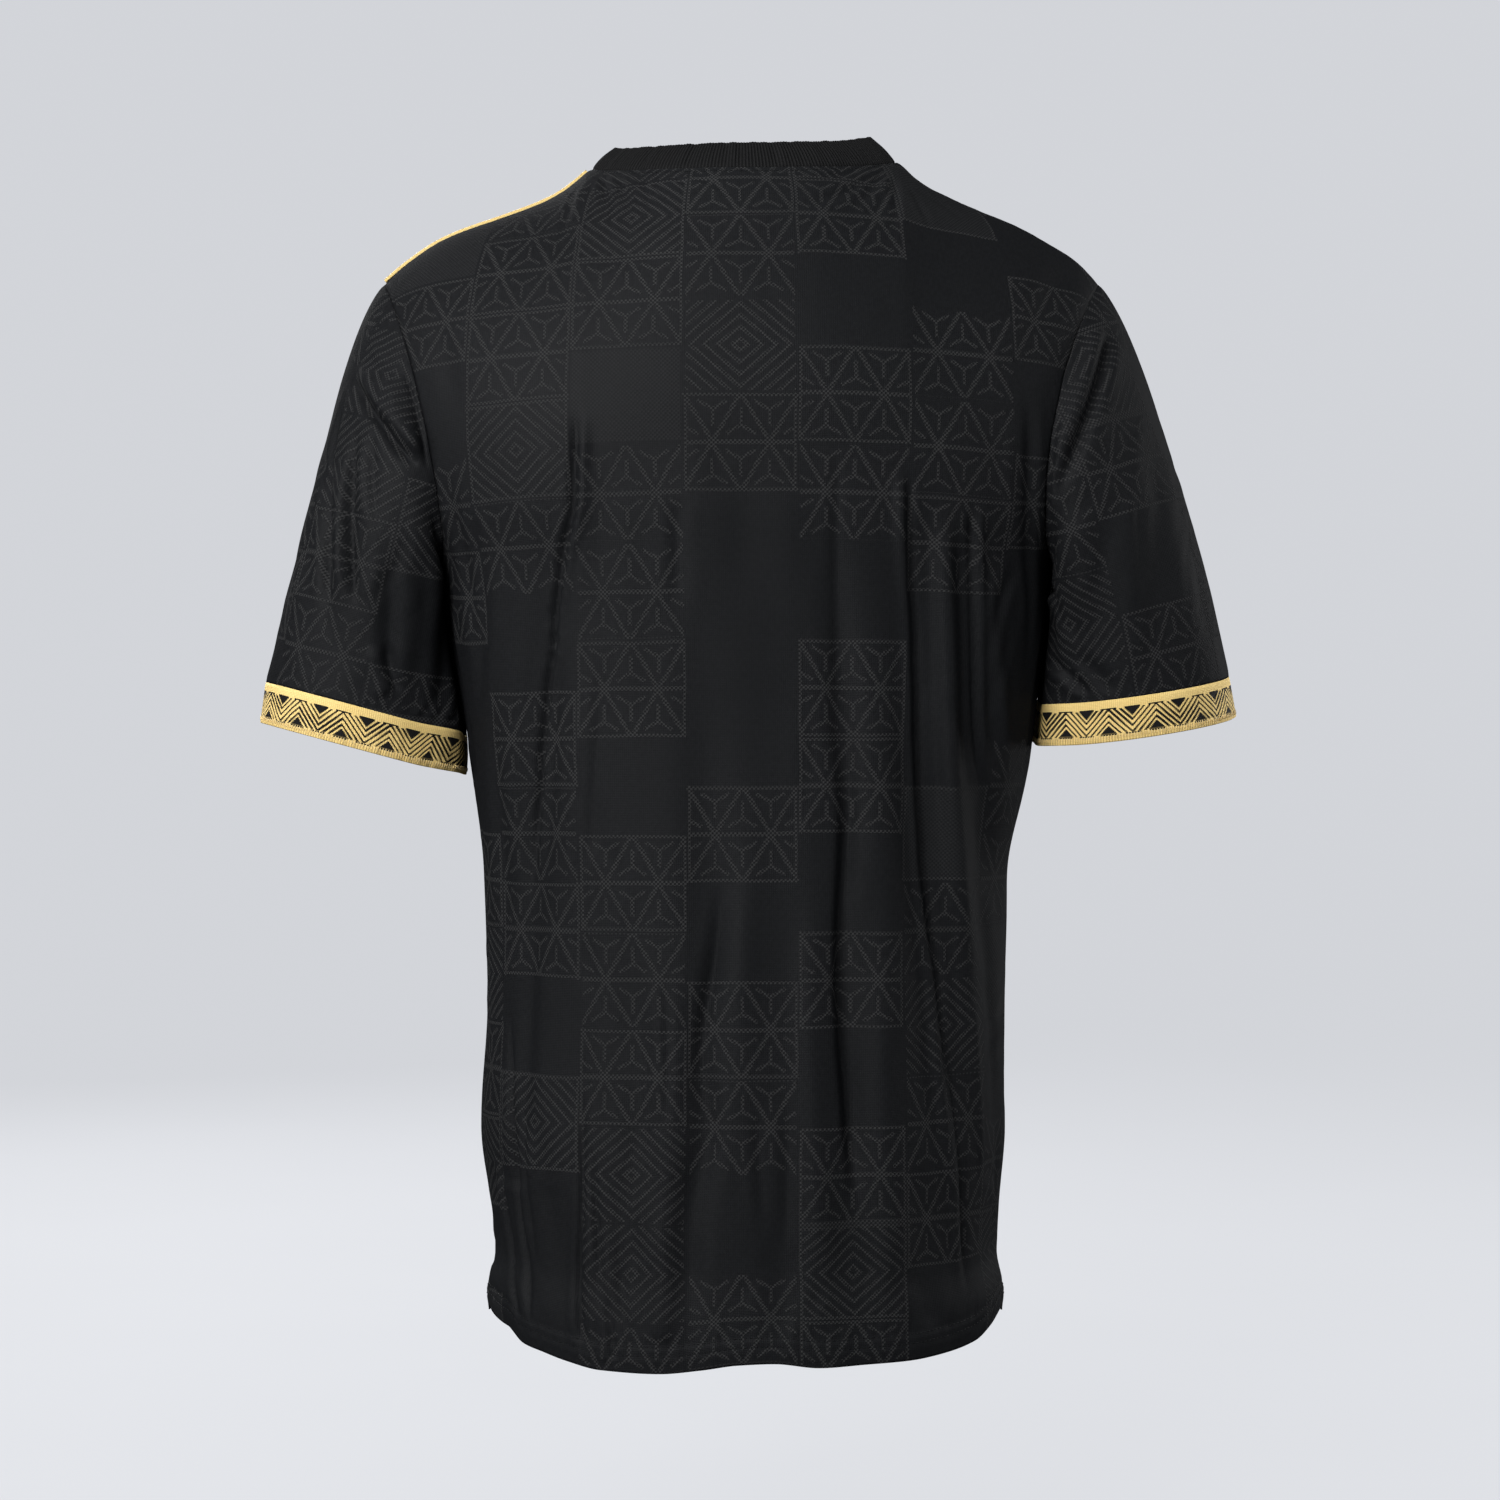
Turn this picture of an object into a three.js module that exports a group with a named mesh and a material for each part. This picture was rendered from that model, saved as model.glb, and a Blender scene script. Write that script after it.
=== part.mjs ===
// Football jersey as worn, with no wearer in it: short set-in sleeves with
// woven trim bands, a ribbed crew neckband and a narrow tape on each shoulder.
// Millimetres, +Z up. The front faces -Y, and +X is the wearer's left.
// Origin: middle of the neck opening, level with the high shoulder points, where the garment hangs on the wearer.
//
// Every piece is a grid of points on the worn cloth. Pieces that are sewn together share the points of their seam,
// so they share the seam's normals too, and each is set back from the seam by half of SEAM_GAP.
import * as THREE from "three";

// ---------------------------------------------------------------- sizes
const CLOTH = 1.6; // wall of the body and the sleeves
const RIB = 2.0; // wall of the neckband
const TRIM = 2.0; // wall of the sleeve bands
const TAPE = 0.9; // thickness of the shoulder tape
const SEAM_GAP = 0.42; // between neighbouring pieces
const HEM_Z = -703; // hem at the side seams
const HEM_DROP_BACK = 19.5; // how much lower the hem hangs at the centre back
const HEM_DROP_FRONT = 12;
const UNDERARM_Z = -250; // bottom of the armhole
const SHOULDER_Z = -71; // top of the armhole
const NECKBAND = 23; // width of the neckband
const TAPE_WIDTH = 7;
const CUFF = 25.2; // width of the sleeve bands

// Grid counts: rows below and above the underarm, columns on each shoulder and across the neck.
const LOWER = 12,
  UPPER = 11,
  ON_SHOULDER = 10,
  ON_NECK = 14,
  ALONG_SLEEVE = 8;
const ROWS = LOWER + UPPER,
  COLS = 2 * ON_SHOULDER + ON_NECK;

// ---------------------------------------------------------------- tables
// Half widths and depths of the worn body at each height.
const TORSO = [
  { z: 40, left: 241, right: 241, back: 118, front: 133 },
  { z: -71, left: 240, right: 240, back: 118, front: 133 },
  { z: -115, left: 236, right: 237, back: 118, front: 133 },
  { z: -165, left: 224, right: 226, back: 119, front: 133 },
  { z: -210, left: 206, right: 209, back: 119, front: 134 },
  { z: -250, left: 188, right: 192, back: 117, front: 134 },
  { z: -300, left: 179, right: 185, back: 115, front: 132 },
  { z: -365, left: 168, right: 177, back: 114, front: 130 },
  { z: -440, left: 159.5, right: 164, back: 115, front: 128 },
  { z: -515, left: 157.5, right: 161.5, back: 117, front: 127 },
  { z: -590, left: 160.5, right: 161, back: 120, front: 127 },
  { z: -640, left: 154.5, right: 157, back: 122, front: 128 },
  { z: -668, left: 152.5, right: 156, back: 123, front: 129 },
  { z: -694, left: 157.5, right: 160.5, back: 125, front: 130.5 },
  { z: -730, left: 156.5, right: 160, back: 127, front: 132 },
];
// Height of the shoulder line, across the body. Between the two neck points it is the line that the neck is cut out of.
const RIDGE = [
  { x: -245, z: -97 },
  { x: -220, z: -71 },
  { x: -206, z: -57 },
  { x: -190, z: -46.5 },
  { x: -168, z: -34.5 },
  { x: -144, z: -25 },
  { x: -122, z: -16 },
  { x: -106, z: -6.5 },
  { x: -95, z: 3 },
  { x: -86, z: 5.5 },
  { x: -68, z: 11.5 },
  { x: -40, z: 20.5 },
  { x: 0, z: 23.5 },
  { x: 40, z: 19 },
  { x: 68, z: 8.5 },
  { x: 85, z: 1 },
  { x: 94, z: -1 },
  { x: 103, z: -8 },
  { x: 111, z: -14 },
  { x: 123, z: -20.5 },
  { x: 152, z: -31.5 },
  { x: 171, z: -38 },
  { x: 188, z: -45.5 },
  { x: 206, z: -57.5 },
  { x: 222, z: -71 },
  { x: 245, z: -95 },
];
// The armhole, as a share of the body's half width, down the back and down the front.
const ARMHOLE = [
  { z: -71, back: 0.925, backRight: 0.917, front: 0.925, frontRight: 0.917 },
  { z: -88, back: 0.896, backRight: 0.882, front: 0.886, frontRight: 0.88 },
  { z: -115, back: 0.865, backRight: 0.843, front: 0.842, frontRight: 0.838 },
  { z: -140, back: 0.851, backRight: 0.824, front: 0.818, frontRight: 0.815 },
  { z: -165, back: 0.851, backRight: 0.823, front: 0.815, frontRight: 0.813 },
  { z: -190, back: 0.866, backRight: 0.84, front: 0.834, frontRight: 0.833 },
  { z: -210, back: 0.889, backRight: 0.869, front: 0.866, frontRight: 0.866 },
  { z: -228, back: 0.918, backRight: 0.908, front: 0.905, frontRight: 0.905 },
  { z: -241, back: 0.954, backRight: 0.952, front: 0.95, frontRight: 0.95 },
  { z: -248, back: 0.986, backRight: 0.986, front: 0.985, frontRight: 0.985 },
  { z: -250, back: 1, backRight: 1, front: 1, frontRight: 1 },
];
// The neck edge seen from the front or the back.
const NECK_BACK = [
  { x: 94, z: -1 },
  { x: 91.5, z: -2.8 },
  { x: 84, z: -5.6 },
  { x: 68, z: -8.6 },
  { x: 40, z: -10.1 },
  { x: 0, z: -10.2 },
  { x: -40, z: -9 },
  { x: -68, z: -6.3 },
  { x: -85, z: -2.2 },
  { x: -92.5, z: 1 },
  { x: -95, z: 3 },
];
const NECK_FRONT = [
  { x: 94, z: -1 },
  { x: 90.5, z: -20 },
  { x: 81, z: -42 },
  { x: 63, z: -64 },
  { x: 36, z: -80 },
  { x: 0, z: -86 },
  { x: -36, z: -80 },
  { x: -63, z: -64 },
  { x: -81, z: -42 },
  { x: -91, z: -19 },
  { x: -95, z: 3 },
];
// Largest folds. Each runs down from z = top to z = bottom through x = xTop, xMid and xBottom.
// width is across the fold; depth is how far the cloth goes in at its deepest; lip is the rise on each side.
const FOLDS = [
  { side: "back", name: "centre_right", top: -165, bottom: -690, xTop: -55, xMid: -61, xBottom: -68, width: 12, depth: 5.5, lip: 0.35, deepest: 0.7 },
  { side: "back", name: "right", top: -175, bottom: -690, xTop: -94, xMid: -108, xBottom: -126, width: 13, depth: 6.5, lip: 0.35, deepest: 0.4 },
  { side: "back", name: "right_edge", top: -200, bottom: -560, xTop: -130, xMid: -142, xBottom: -150, width: 11, depth: 4.5, lip: 0.2, deepest: 0.45 },
  { side: "back", name: "left", top: -185, bottom: -560, xTop: 107, xMid: 122, xBottom: 136, width: 13, depth: 6, lip: 0.35, deepest: 0.5 },
  { side: "back", name: "centre_left", top: -200, bottom: -700, xTop: 34, xMid: 20, xBottom: 33, width: 13, depth: 3.5, lip: 0.3, deepest: 0.75 },
  { side: "front", name: "chest_right", top: -180, bottom: -700, xTop: -112, xMid: -98, xBottom: -92, width: 12, depth: 7, lip: 0.4, deepest: 0.5 },
  { side: "front", name: "chest_left", top: -195, bottom: -700, xTop: 108, xMid: 101, xBottom: 84, width: 12, depth: 8, lip: 0.4, deepest: 0.6 },
  { side: "front", name: "belly_right", top: -330, bottom: -712, xTop: -34, xMid: -38, xBottom: -47, width: 13, depth: 5, lip: 0.35, deepest: 0.75 },
  { side: "front", name: "belly_left", top: -380, bottom: -712, xTop: 26, xMid: 31, xBottom: 38, width: 14, depth: 4.5, lip: 0.3, deepest: 0.8 },
  { side: "front", name: "edge_left", top: -260, bottom: -600, xTop: 146, xMid: 141, xBottom: 138, width: 10, depth: 6, lip: 0.4, deepest: 0.4 },
];
// The ring at the lower end of each sleeve, where its band starts: centre, half width and half depth.
// rise is how much higher its outer end is than its centre, and dip is how much lower it hangs behind.
// arrive is the slant of the sleeve's outer line there; lean and flare are the band's slant and widening.
const SLEEVES = {
  left: { x: 234.6, y: 2, z: -334, width: 60.5, depth: 57, rise: 16.2, dip: -1.5, arrive: 0.25, lean: 0.15, flare: -0.6 },
  right: { x: -243, y: 2, z: -322, width: 57.5, depth: 57, rise: 8.5, dip: 4.5, arrive: 0.19, lean: 0.06, flare: 3 },
};
// How far the neckband leans in and stands up, round the neck.
const BAND = [
  { turn: 0, lean: 13.5, stand: 12.5 }, // wearer's left
  { turn: 45, lean: 14, stand: 16.5 },
  { turn: 90, lean: 14, stand: 17.8 }, // back
  { turn: 135, lean: 15, stand: 17.5 },
  { turn: 180, lean: 16.5, stand: 16.5 }, // wearer's right
  { turn: 225, lean: 16.5, stand: 15.5 },
  { turn: 270, lean: 12.5, stand: 19 }, // front
  { turn: 315, lean: 15, stand: 14.5 },
  { turn: 360, lean: 13.5, stand: 12.5 },
];

// ---------------------------------------------------------------- helpers
const clamp = (v, lo, hi) => Math.min(hi, Math.max(lo, v));
const smooth = (v) => {
  const s = clamp(v, 0, 1);
  return s * s * (3 - 2 * s);
};
// Reads column `out` of a table at `at` of column `key`, along a smooth curve that doesn't overshoot.
function read(table, key, at, out) {
  const up = table[0][key] < table[table.length - 1][key];
  const rows = up ? table : [...table].reverse();
  const n = rows.length;
  const t = clamp(at, rows[0][key], rows[n - 1][key]);
  let k = 0;
  while (k < n - 2 && t > rows[k + 1][key]) k++;
  const slope = (i) =>
    (rows[i + 1][out] - rows[i][out]) / (rows[i + 1][key] - rows[i][key]);
  const tangent = (i) => {
    if (i === 0) return slope(0);
    if (i === n - 1) return slope(n - 2);
    const a = slope(i - 1),
      b = slope(i);
    return a * b <= 0 ? 0 : (2 * a * b) / (a + b);
  };
  const h = rows[k + 1][key] - rows[k][key];
  const s = (t - rows[k][key]) / h;
  const s2 = s * s,
    s3 = s2 * s;
  return (
    (2 * s3 - 3 * s2 + 1) * rows[k][out] +
    (s3 - 2 * s2 + s) * h * tangent(k) +
    (-2 * s3 + 3 * s2) * rows[k + 1][out] +
    (s3 - s2) * h * tangent(k + 1)
  );
}
// A point at share s of the length of a line of { x, z } rows.
function alongLine(rows, s) {
  const marks = [0];
  for (let i = 1; i < rows.length; i++)
    marks.push(
      marks[i - 1] +
        Math.hypot(rows[i].x - rows[i - 1].x, rows[i].z - rows[i - 1].z),
    );
  const total = marks[marks.length - 1];
  const table = rows.map((r, i) => ({ s: marks[i] / total, x: r.x, z: r.z }));
  return { x: read(table, "s", s, "x"), z: read(table, "s", s, "z") };
}

// ---------------------------------------------------------------- the worn body
const SECTION = 2.3; // how square the body's section is
const oval = (share) =>
  (1 - Math.abs(clamp(share, -1, 1)) ** SECTION) ** (1 / SECTION);
const halfWidth = (x, z) => read(TORSO, "z", z, x >= 0 ? "left" : "right");
const ridge = (x) => read(RIDGE, "x", x, "z");
// How the cloth falls from the shoulder line: a round shoulder behind, a flatter slope over the chest.
function fall(side, x, z) {
  const drop = Math.max(0, ridge(x) - z);
  const out = smooth((Math.abs(x) - 95) / 110);
  const reach = side === "back" ? 190 : 310 - 80 * out;
  const round = side === "back" ? 2 : 1.5 + 0.3 * out;
  return (1 - (1 - Math.min(1, drop / reach)) ** round) ** (1 / round);
}
function folds(side, x, z) {
  let sum = 0;
  for (const f of FOLDS) {
    if (f.side !== side || z > f.top || z < f.bottom - 60) continue;
    const s = (f.top - z) / (f.top - f.bottom);
    const middle =
      f.xTop * (1 - s) * (1 - 2 * s) +
      f.xMid * 4 * s * (1 - s) +
      f.xBottom * s * (2 * s - 1);
    const grow =
      s < f.deepest
        ? smooth(s / f.deepest)
        : 1 - 0.75 * smooth((s - f.deepest) / (1.05 - f.deepest));
    const a = (x - middle) / f.width;
    const lips =
      Math.exp(-((a - 1.7) ** 2)) + Math.exp(-((a + 1.7) ** 2));
    sum += f.depth * grow * (f.lip * lips - Math.exp(-a * a));
  }
  return sum;
}
const armholeShare = (side, x, z) =>
  read(ARMHOLE, "z", z, x >= 0 ? side : side + "Right");
// The folds die out at the seams, so that neighbouring panels meet.
function calm(side, x, z) {
  const w = halfWidth(x, z);
  const edge = z > UNDERARM_Z ? w * armholeShare(side, x, z) : w;
  return smooth((edge - Math.abs(x)) / 9) * smooth((ridge(x) - z) / 30);
}
// A point of the cloth at x, z on the front or the back.
function onBody(side, x, z) {
  const w = halfWidth(x, z);
  const share = x / w;
  const depth = read(TORSO, "z", z, side) * oval(share) * fall(side, x, z);
  const y = side === "back" ? depth : -depth;
  const p = new THREE.Vector3(x, y, z);
  const f = folds(side, x, z) * calm(side, x, z);
  if (f) {
    // the section's outward direction in the XY plane
    const k = SECTION - 1;
    const nx = (Math.sign(x) * Math.abs(share) ** k) / w;
    const ny = Math.max(oval(share), 1e-3) ** k / read(TORSO, "z", z, side);
    const n = Math.hypot(nx, ny);
    p.x += (f * nx) / n;
    p.y += ((side === "back" ? 1 : -1) * f * ny) / n;
  }
  return p;
}
const armholeX = (side, sign, z) =>
  sign * halfWidth(sign, z) * armholeShare(side, sign, z);
// Heights that cut the armhole into UPPER equal lengths, from the underarm to the shoulder tip.
function armholeRows(side, sign) {
  const FINE = 400;
  const marks = [{ s: 0, z: UNDERARM_Z }];
  let last = onBody(side, armholeX(side, sign, UNDERARM_Z), UNDERARM_Z);
  for (let k = 1; k <= FINE; k++) {
    const z = UNDERARM_Z + (SHOULDER_Z - UNDERARM_Z) * (k / FINE);
    const p = onBody(side, armholeX(side, sign, z), z);
    marks.push({ s: marks[k - 1].s + p.distanceTo(last), z });
    last = p;
  }
  const total = marks[FINE].s;
  const heights = [];
  let m = 0;
  for (let j = 0; j <= UPPER; j++) {
    const want = (total * j) / UPPER;
    while (m < FINE - 1 && marks[m + 1].s < want) m++;
    const a = marks[m],
      b = marks[m + 1];
    heights.push(a.z + ((b.z - a.z) * (want - a.s)) / (b.s - a.s));
  }
  return heights;
}

// A panel's grid: columns from the wearer's left to right, rows from the hem to the shoulder.
function panelGrid(side) {
  const neck = side === "back" ? NECK_BACK : NECK_FRONT;
  const shoulder = (sign) => {
    const neckPoint = sign > 0 ? neck[0] : neck[neck.length - 1];
    const tip = armholeX(side, sign, SHOULDER_Z);
    return { from: tip, to: neckPoint.x };
  };
  const topPoint = (i) => {
    if (i <= ON_SHOULDER) {
      const { from, to } = shoulder(1);
      const x = from + ((to - from) * i) / ON_SHOULDER;
      return { x, z: i === 0 ? SHOULDER_Z : ridge(x) };
    }
    if (i >= ON_SHOULDER + ON_NECK) {
      const { from, to } = shoulder(-1);
      const x = to + ((from - to) * (i - ON_SHOULDER - ON_NECK)) / ON_SHOULDER;
      return { x, z: i === COLS ? SHOULDER_Z : ridge(x) };
    }
    return alongLine(neck, (i - ON_SHOULDER) / ON_NECK);
  };
  const turn = (i) => Math.PI * (i / COLS);
  const sectionX = (i, z) => {
    const c = Math.cos(turn(i));
    return c * halfWidth(c, z);
  };
  const drop = side === "back" ? HEM_DROP_BACK : HEM_DROP_FRONT;
  const edge = { left: armholeRows(side, 1), right: armholeRows(side, -1) };
  // A row leaves the underarm at a slant and runs level in the middle, SAG lower.
  const SAG = 46;
  const inward = (i) => 1 - Math.exp(-Math.min(i, COLS - i) / 2.2);
  const rows = [];
  for (let j = 0; j <= ROWS; j++) {
    const row = [];
    for (let i = 0; i <= COLS; i++) {
      let x, z;
      const meet = UNDERARM_Z - SAG * inward(i);
      if (j <= LOWER) {
        const hem = HEM_Z - drop * Math.sin(turn(i)) ** 0.7;
        z = hem + ((meet - hem) * j) / LOWER;
        x = sectionX(i, z);
      } else {
        const u = i / COLS;
        const zl = edge.left[j - LOWER],
          zr = edge.right[j - LOWER];
        // in the middle the rows crowd towards the shoulder, where the cloth turns over it
        const w = 1 - (1 - (j - LOWER) / UPPER) ** 1.7;
        const wx = w ** 4;
        // in front the columns fan out from the steep sides of the neck edge
        const fan = (at) => Math.exp(-(((i - at) / 2.2) ** 2));
        const out =
          side === "front"
            ? 34 * Math.sqrt(1 - w) * w ** 3 * (fan(ON_SHOULDER + 0.6) - fan(COLS - ON_SHOULDER - 0.6))
            : 0;
        const level = (ze, wj, far) =>
          ze + (UNDERARM_Z - SAG + wj * (far - UNDERARM_Z + SAG) - ze) * inward(i);
        const far = NECK_BACK[0].z;
        const bottom = { x: sectionX(i, meet) };
        const top = topPoint(i);
        const left = armholeX(side, 1, zl),
          right = armholeX(side, -1, zr);
        const cornerTopL = topPoint(0).x,
          cornerTopR = topPoint(COLS).x;
        const cornerL = sectionX(0, UNDERARM_Z),
          cornerR = sectionX(COLS, UNDERARM_Z);
        x =
          (1 - wx) * bottom.x +
          wx * top.x +
          (1 - u) * left +
          u * right +
          out -
          ((1 - u) * ((1 - wx) * cornerL + wx * cornerTopL) +
            u * ((1 - wx) * cornerR + wx * cornerTopR));
        z =
          level(u < 0.5 ? zl : zr, w, far) +
          w * (top.z - level(SHOULDER_Z, 1, far));
      }
      row.push(onBody(side, x, z));
    }
    rows.push(row);
  }
  // the shoulder line itself has no depth
  for (let i = 0; i <= COLS; i++)
    if (i <= ON_SHOULDER || i >= ON_SHOULDER + ON_NECK) rows[ROWS][i].y = 0;
  for (let j = 0; j <= LOWER; j++) rows[j][0].y = rows[j][COLS].y = 0;
  return rows;
}

// ---------------------------------------------------------------- grids
const grids = { back: panelGrid("back"), front: panelGrid("front") };

// The seam names of a panel's edge points. Pieces that share a name share the seam's normal there.
function panelKey(side, i, j) {
  const end = i === 0 ? "L" : i === COLS ? "R" : "";
  if (end && j < LOWER) return `side:${end}:${j}`;
  if (end && j === LOWER) return `underarm:${end}`;
  if (end && j === ROWS) return `tip:${end}`;
  if (end) return `arm:${end}:${side}:${j}`;
  if (j !== ROWS) return null;
  if (i === ON_SHOULDER) return "neckpoint:L";
  if (i === ON_SHOULDER + ON_NECK) return "neckpoint:R";
  if (i < ON_SHOULDER || i > ON_SHOULDER + ON_NECK) return `shoulder:${i}`;
  return `neck:${side}:${i}`;
}

// Round the armhole from the shoulder tip, down the back, under the arm and up the front.
const AROUND_ARM = 2 * UPPER;
function armRing(name) {
  const i = name === "left" ? 0 : COLS;
  const ring = [];
  for (let k = 0; k < AROUND_ARM; k++) {
    const side = k <= UPPER ? "back" : "front";
    const j = k <= UPPER ? ROWS - k : LOWER + (k - UPPER);
    ring.push({ p: grids[side][j][i], key: panelKey(side, i, j) });
  }
  return ring;
}
// Share of each half of the armhole's length, from the tip to the underarm, as an angle.
function armAngles(ring) {
  const angles = new Array(AROUND_ARM).fill(0);
  const half = (order) => {
    const marks = [0];
    for (let m = 1; m < order.length; m++)
      marks.push(
        marks[m - 1] + ring[order[m]].p.distanceTo(ring[order[m - 1]].p),
      );
    return marks.map((v) => (v / marks[marks.length - 1]) * Math.PI);
  };
  const back = [...Array(UPPER + 1).keys()];
  const front = back.map((k) => (AROUND_ARM - k) % AROUND_ARM);
  half(back).forEach((a, m) => (angles[back[m]] = a));
  half(front).forEach((a, m) => {
    if (m > 0 && m < UPPER) angles[front[m]] = -a;
  });
  return angles;
}
// The ring at the sleeve's lower end, at a distance below it along the sleeve, and let out by `grow`.
function sleeveEnd(name, angle, below, grow) {
  const s = SLEEVES[name];
  const sign = name === "left" ? 1 : -1;
  const across = new THREE.Vector3(sign * s.width, 0, s.rise);
  const n = across.length();
  const outward = across.clone().divideScalar(n);
  const depth = new THREE.Vector3(0, s.depth, -s.dip);
  const down = new THREE.Vector3(sign * s.lean, -s.dip / s.depth, -1).normalize();
  return new THREE.Vector3(s.x, s.y, s.z)
    .addScaledVector(outward, (n + grow) * Math.cos(angle))
    .addScaledVector(depth, (1 + grow / s.depth) * Math.sin(angle))
    .addScaledVector(down, below);
}
function sleeveGrid(name) {
  const ring = armRing(name);
  const angles = armAngles(ring);
  const s = SLEEVES[name];
  const sign = name === "left" ? 1 : -1;
  const rows = [];
  for (let t = 0; t <= ALONG_SLEEVE; t++) {
    const w = (t / ALONG_SLEEVE) ** 1.1;
    rows.push(
      ring.map(({ p }, k) => {
        const a = angles[k];
        const end = sleeveEnd(name, a, 0, 0);
        const length = p.distanceTo(end);
        const under = (1 - Math.cos(a)) / 2; // 0 on top, 1 under the arm
        const beside = Math.abs(Math.sin(a));
        const leave = new THREE.Vector3(
          sign * 0.7,
          0.28 * Math.sin(a),
          -0.7 - 0.1 * under - 0.1 * beside,
        )
          .normalize()
          .multiplyScalar(length * (0.42 + 0.2 * beside + 0.1 * under));
        // underneath, the sleeve comes down beside the body
        const arrive = new THREE.Vector3(
          sign * (s.arrive * (1 - under) - 0.1 * under),
          -s.dip / s.depth,
          -1,
        )
          .normalize()
          .multiplyScalar(length * 0.8);
        const w2 = w * w,
          w3 = w2 * w;
        return new THREE.Vector3()
          .addScaledVector(p, 2 * w3 - 3 * w2 + 1)
          .addScaledVector(leave, w3 - 2 * w2 + w)
          .addScaledVector(end, -2 * w3 + 3 * w2)
          .addScaledVector(arrive, w3 - w2);
      }),
    );
  }
  return rows;
}
function cuffGrid(name) {
  const angles = armAngles(armRing(name));
  return [0, 1].map((t) =>
    angles.map((a) =>
      sleeveEnd(name, a, t * CUFF, t * SLEEVES[name].flare),
    ),
  );
}
grids.sleeve_left = sleeveGrid("left");
grids.sleeve_right = sleeveGrid("right");
grids.cuff_left = cuffGrid("left");
grids.cuff_right = cuffGrid("right");

// Round the neck from the wearer's left, across the back and round the front.
const AROUND_NECK = 2 * ON_NECK;
const neckRing = [];
for (let k = 0; k < AROUND_NECK; k++) {
  const side = k <= ON_NECK ? "back" : "front";
  const i = ON_SHOULDER + (k <= ON_NECK ? k : AROUND_NECK - k);
  neckRing.push({ p: grids[side][ROWS][i], key: panelKey(side, i, ROWS) });
}
grids.collar = [0, 0.5, 1].map((t) =>
  neckRing.map(({ p }) => {
    const turn =
      ((Math.atan2(p.y + 6, p.x) * 180) / Math.PI + 360) % 360;
    const lean = read(BAND, "turn", turn, "lean"),
      stand = read(BAND, "turn", turn, "stand");
    const r = Math.hypot(p.x, p.y + 6);
    const bow = Math.sin(Math.PI * t) * 1.2;
    return new THREE.Vector3(
      p.x - (p.x / r) * (lean * t - bow),
      p.y - ((p.y + 6) / r) * (lean * t - bow),
      p.z + stand * t,
    );
  }),
);

// ---------------------------------------------------------------- normals shared across seams
const isRing = (name) => !["back", "front"].includes(name);
function keyOf(name, i, j) {
  if (name === "back" || name === "front") return panelKey(name, i, j);
  if (name === "collar") return j === 0 ? neckRing[i].key : null;
  const arm = name.slice(name.indexOf("_") + 1);
  if (name.startsWith("sleeve"))
    return j === 0
      ? armRing(arm)[i].key
      : j === ALONG_SLEEVE
        ? `band:${arm}:${i}`
        : null;
  return j === 0 ? `band:${arm}:${i}` : null;
}
const keys = {},
  normals = {},
  shared = new Map();
for (const [name, rows] of Object.entries(grids)) {
  const nj = rows.length,
    ni = rows[0].length,
    wrap = isRing(name);
  const sum = rows.map((row) => row.map(() => new THREE.Vector3()));
  const quads = wrap ? ni : ni - 1;
  for (let j = 0; j + 1 < nj; j++)
    for (let i = 0; i < quads; i++) {
      const i2 = (i + 1) % ni;
      const a = rows[j][i],
        b = rows[j][i2],
        c = rows[j + 1][i2],
        d = rows[j + 1][i];
      const n = c.clone().sub(a).cross(d.clone().sub(b));
      for (const [jj, ii] of [
        [j, i],
        [j, i2],
        [j + 1, i2],
        [j + 1, i],
      ])
        sum[jj][ii].add(n);
    }
  // which way is out: away from the piece's own inside
  let facing = 0;
  const inside = {
    back: new THREE.Vector3(0, 0, -380),
    front: new THREE.Vector3(0, 0, -380),
    collar: new THREE.Vector3(0, -6, -10),
    sleeve_left: new THREE.Vector3(225, 0, -230),
    sleeve_right: new THREE.Vector3(-225, 0, -230),
    cuff_left: new THREE.Vector3(236, 0, -345),
    cuff_right: new THREE.Vector3(-245, 0, -335),
  }[name];
  sum.forEach((row, j) =>
    row.forEach((n, i) => (facing += Math.sign(n.dot(rows[j][i].clone().sub(inside))))),
  );
  const turn = facing < 0 ? -1 : 1;
  keys[name] = rows.map((row, j) => row.map((_, i) => keyOf(name, i, j)));
  normals[name] = sum.map((row, j) =>
    row.map((n, i) => {
      const unit = n.multiplyScalar(turn).normalize();
      const key = keys[name][j][i];
      if (key) {
        if (!shared.has(key)) shared.set(key, []);
        shared.get(key).push(unit.clone());
      }
      return unit;
    }),
  );
}
for (const [name, rows] of Object.entries(normals))
  rows.forEach((row, j) =>
    row.forEach((n, i) => {
      // where three pieces meet, the two panels count as one
      const key = keys[name][j][i];
      if (!key) return;
      const [back, front, third] = shared.get(key);
      n.copy(back).add(front).normalize();
      if (third) n.add(third).normalize();
    }),
  );

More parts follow.
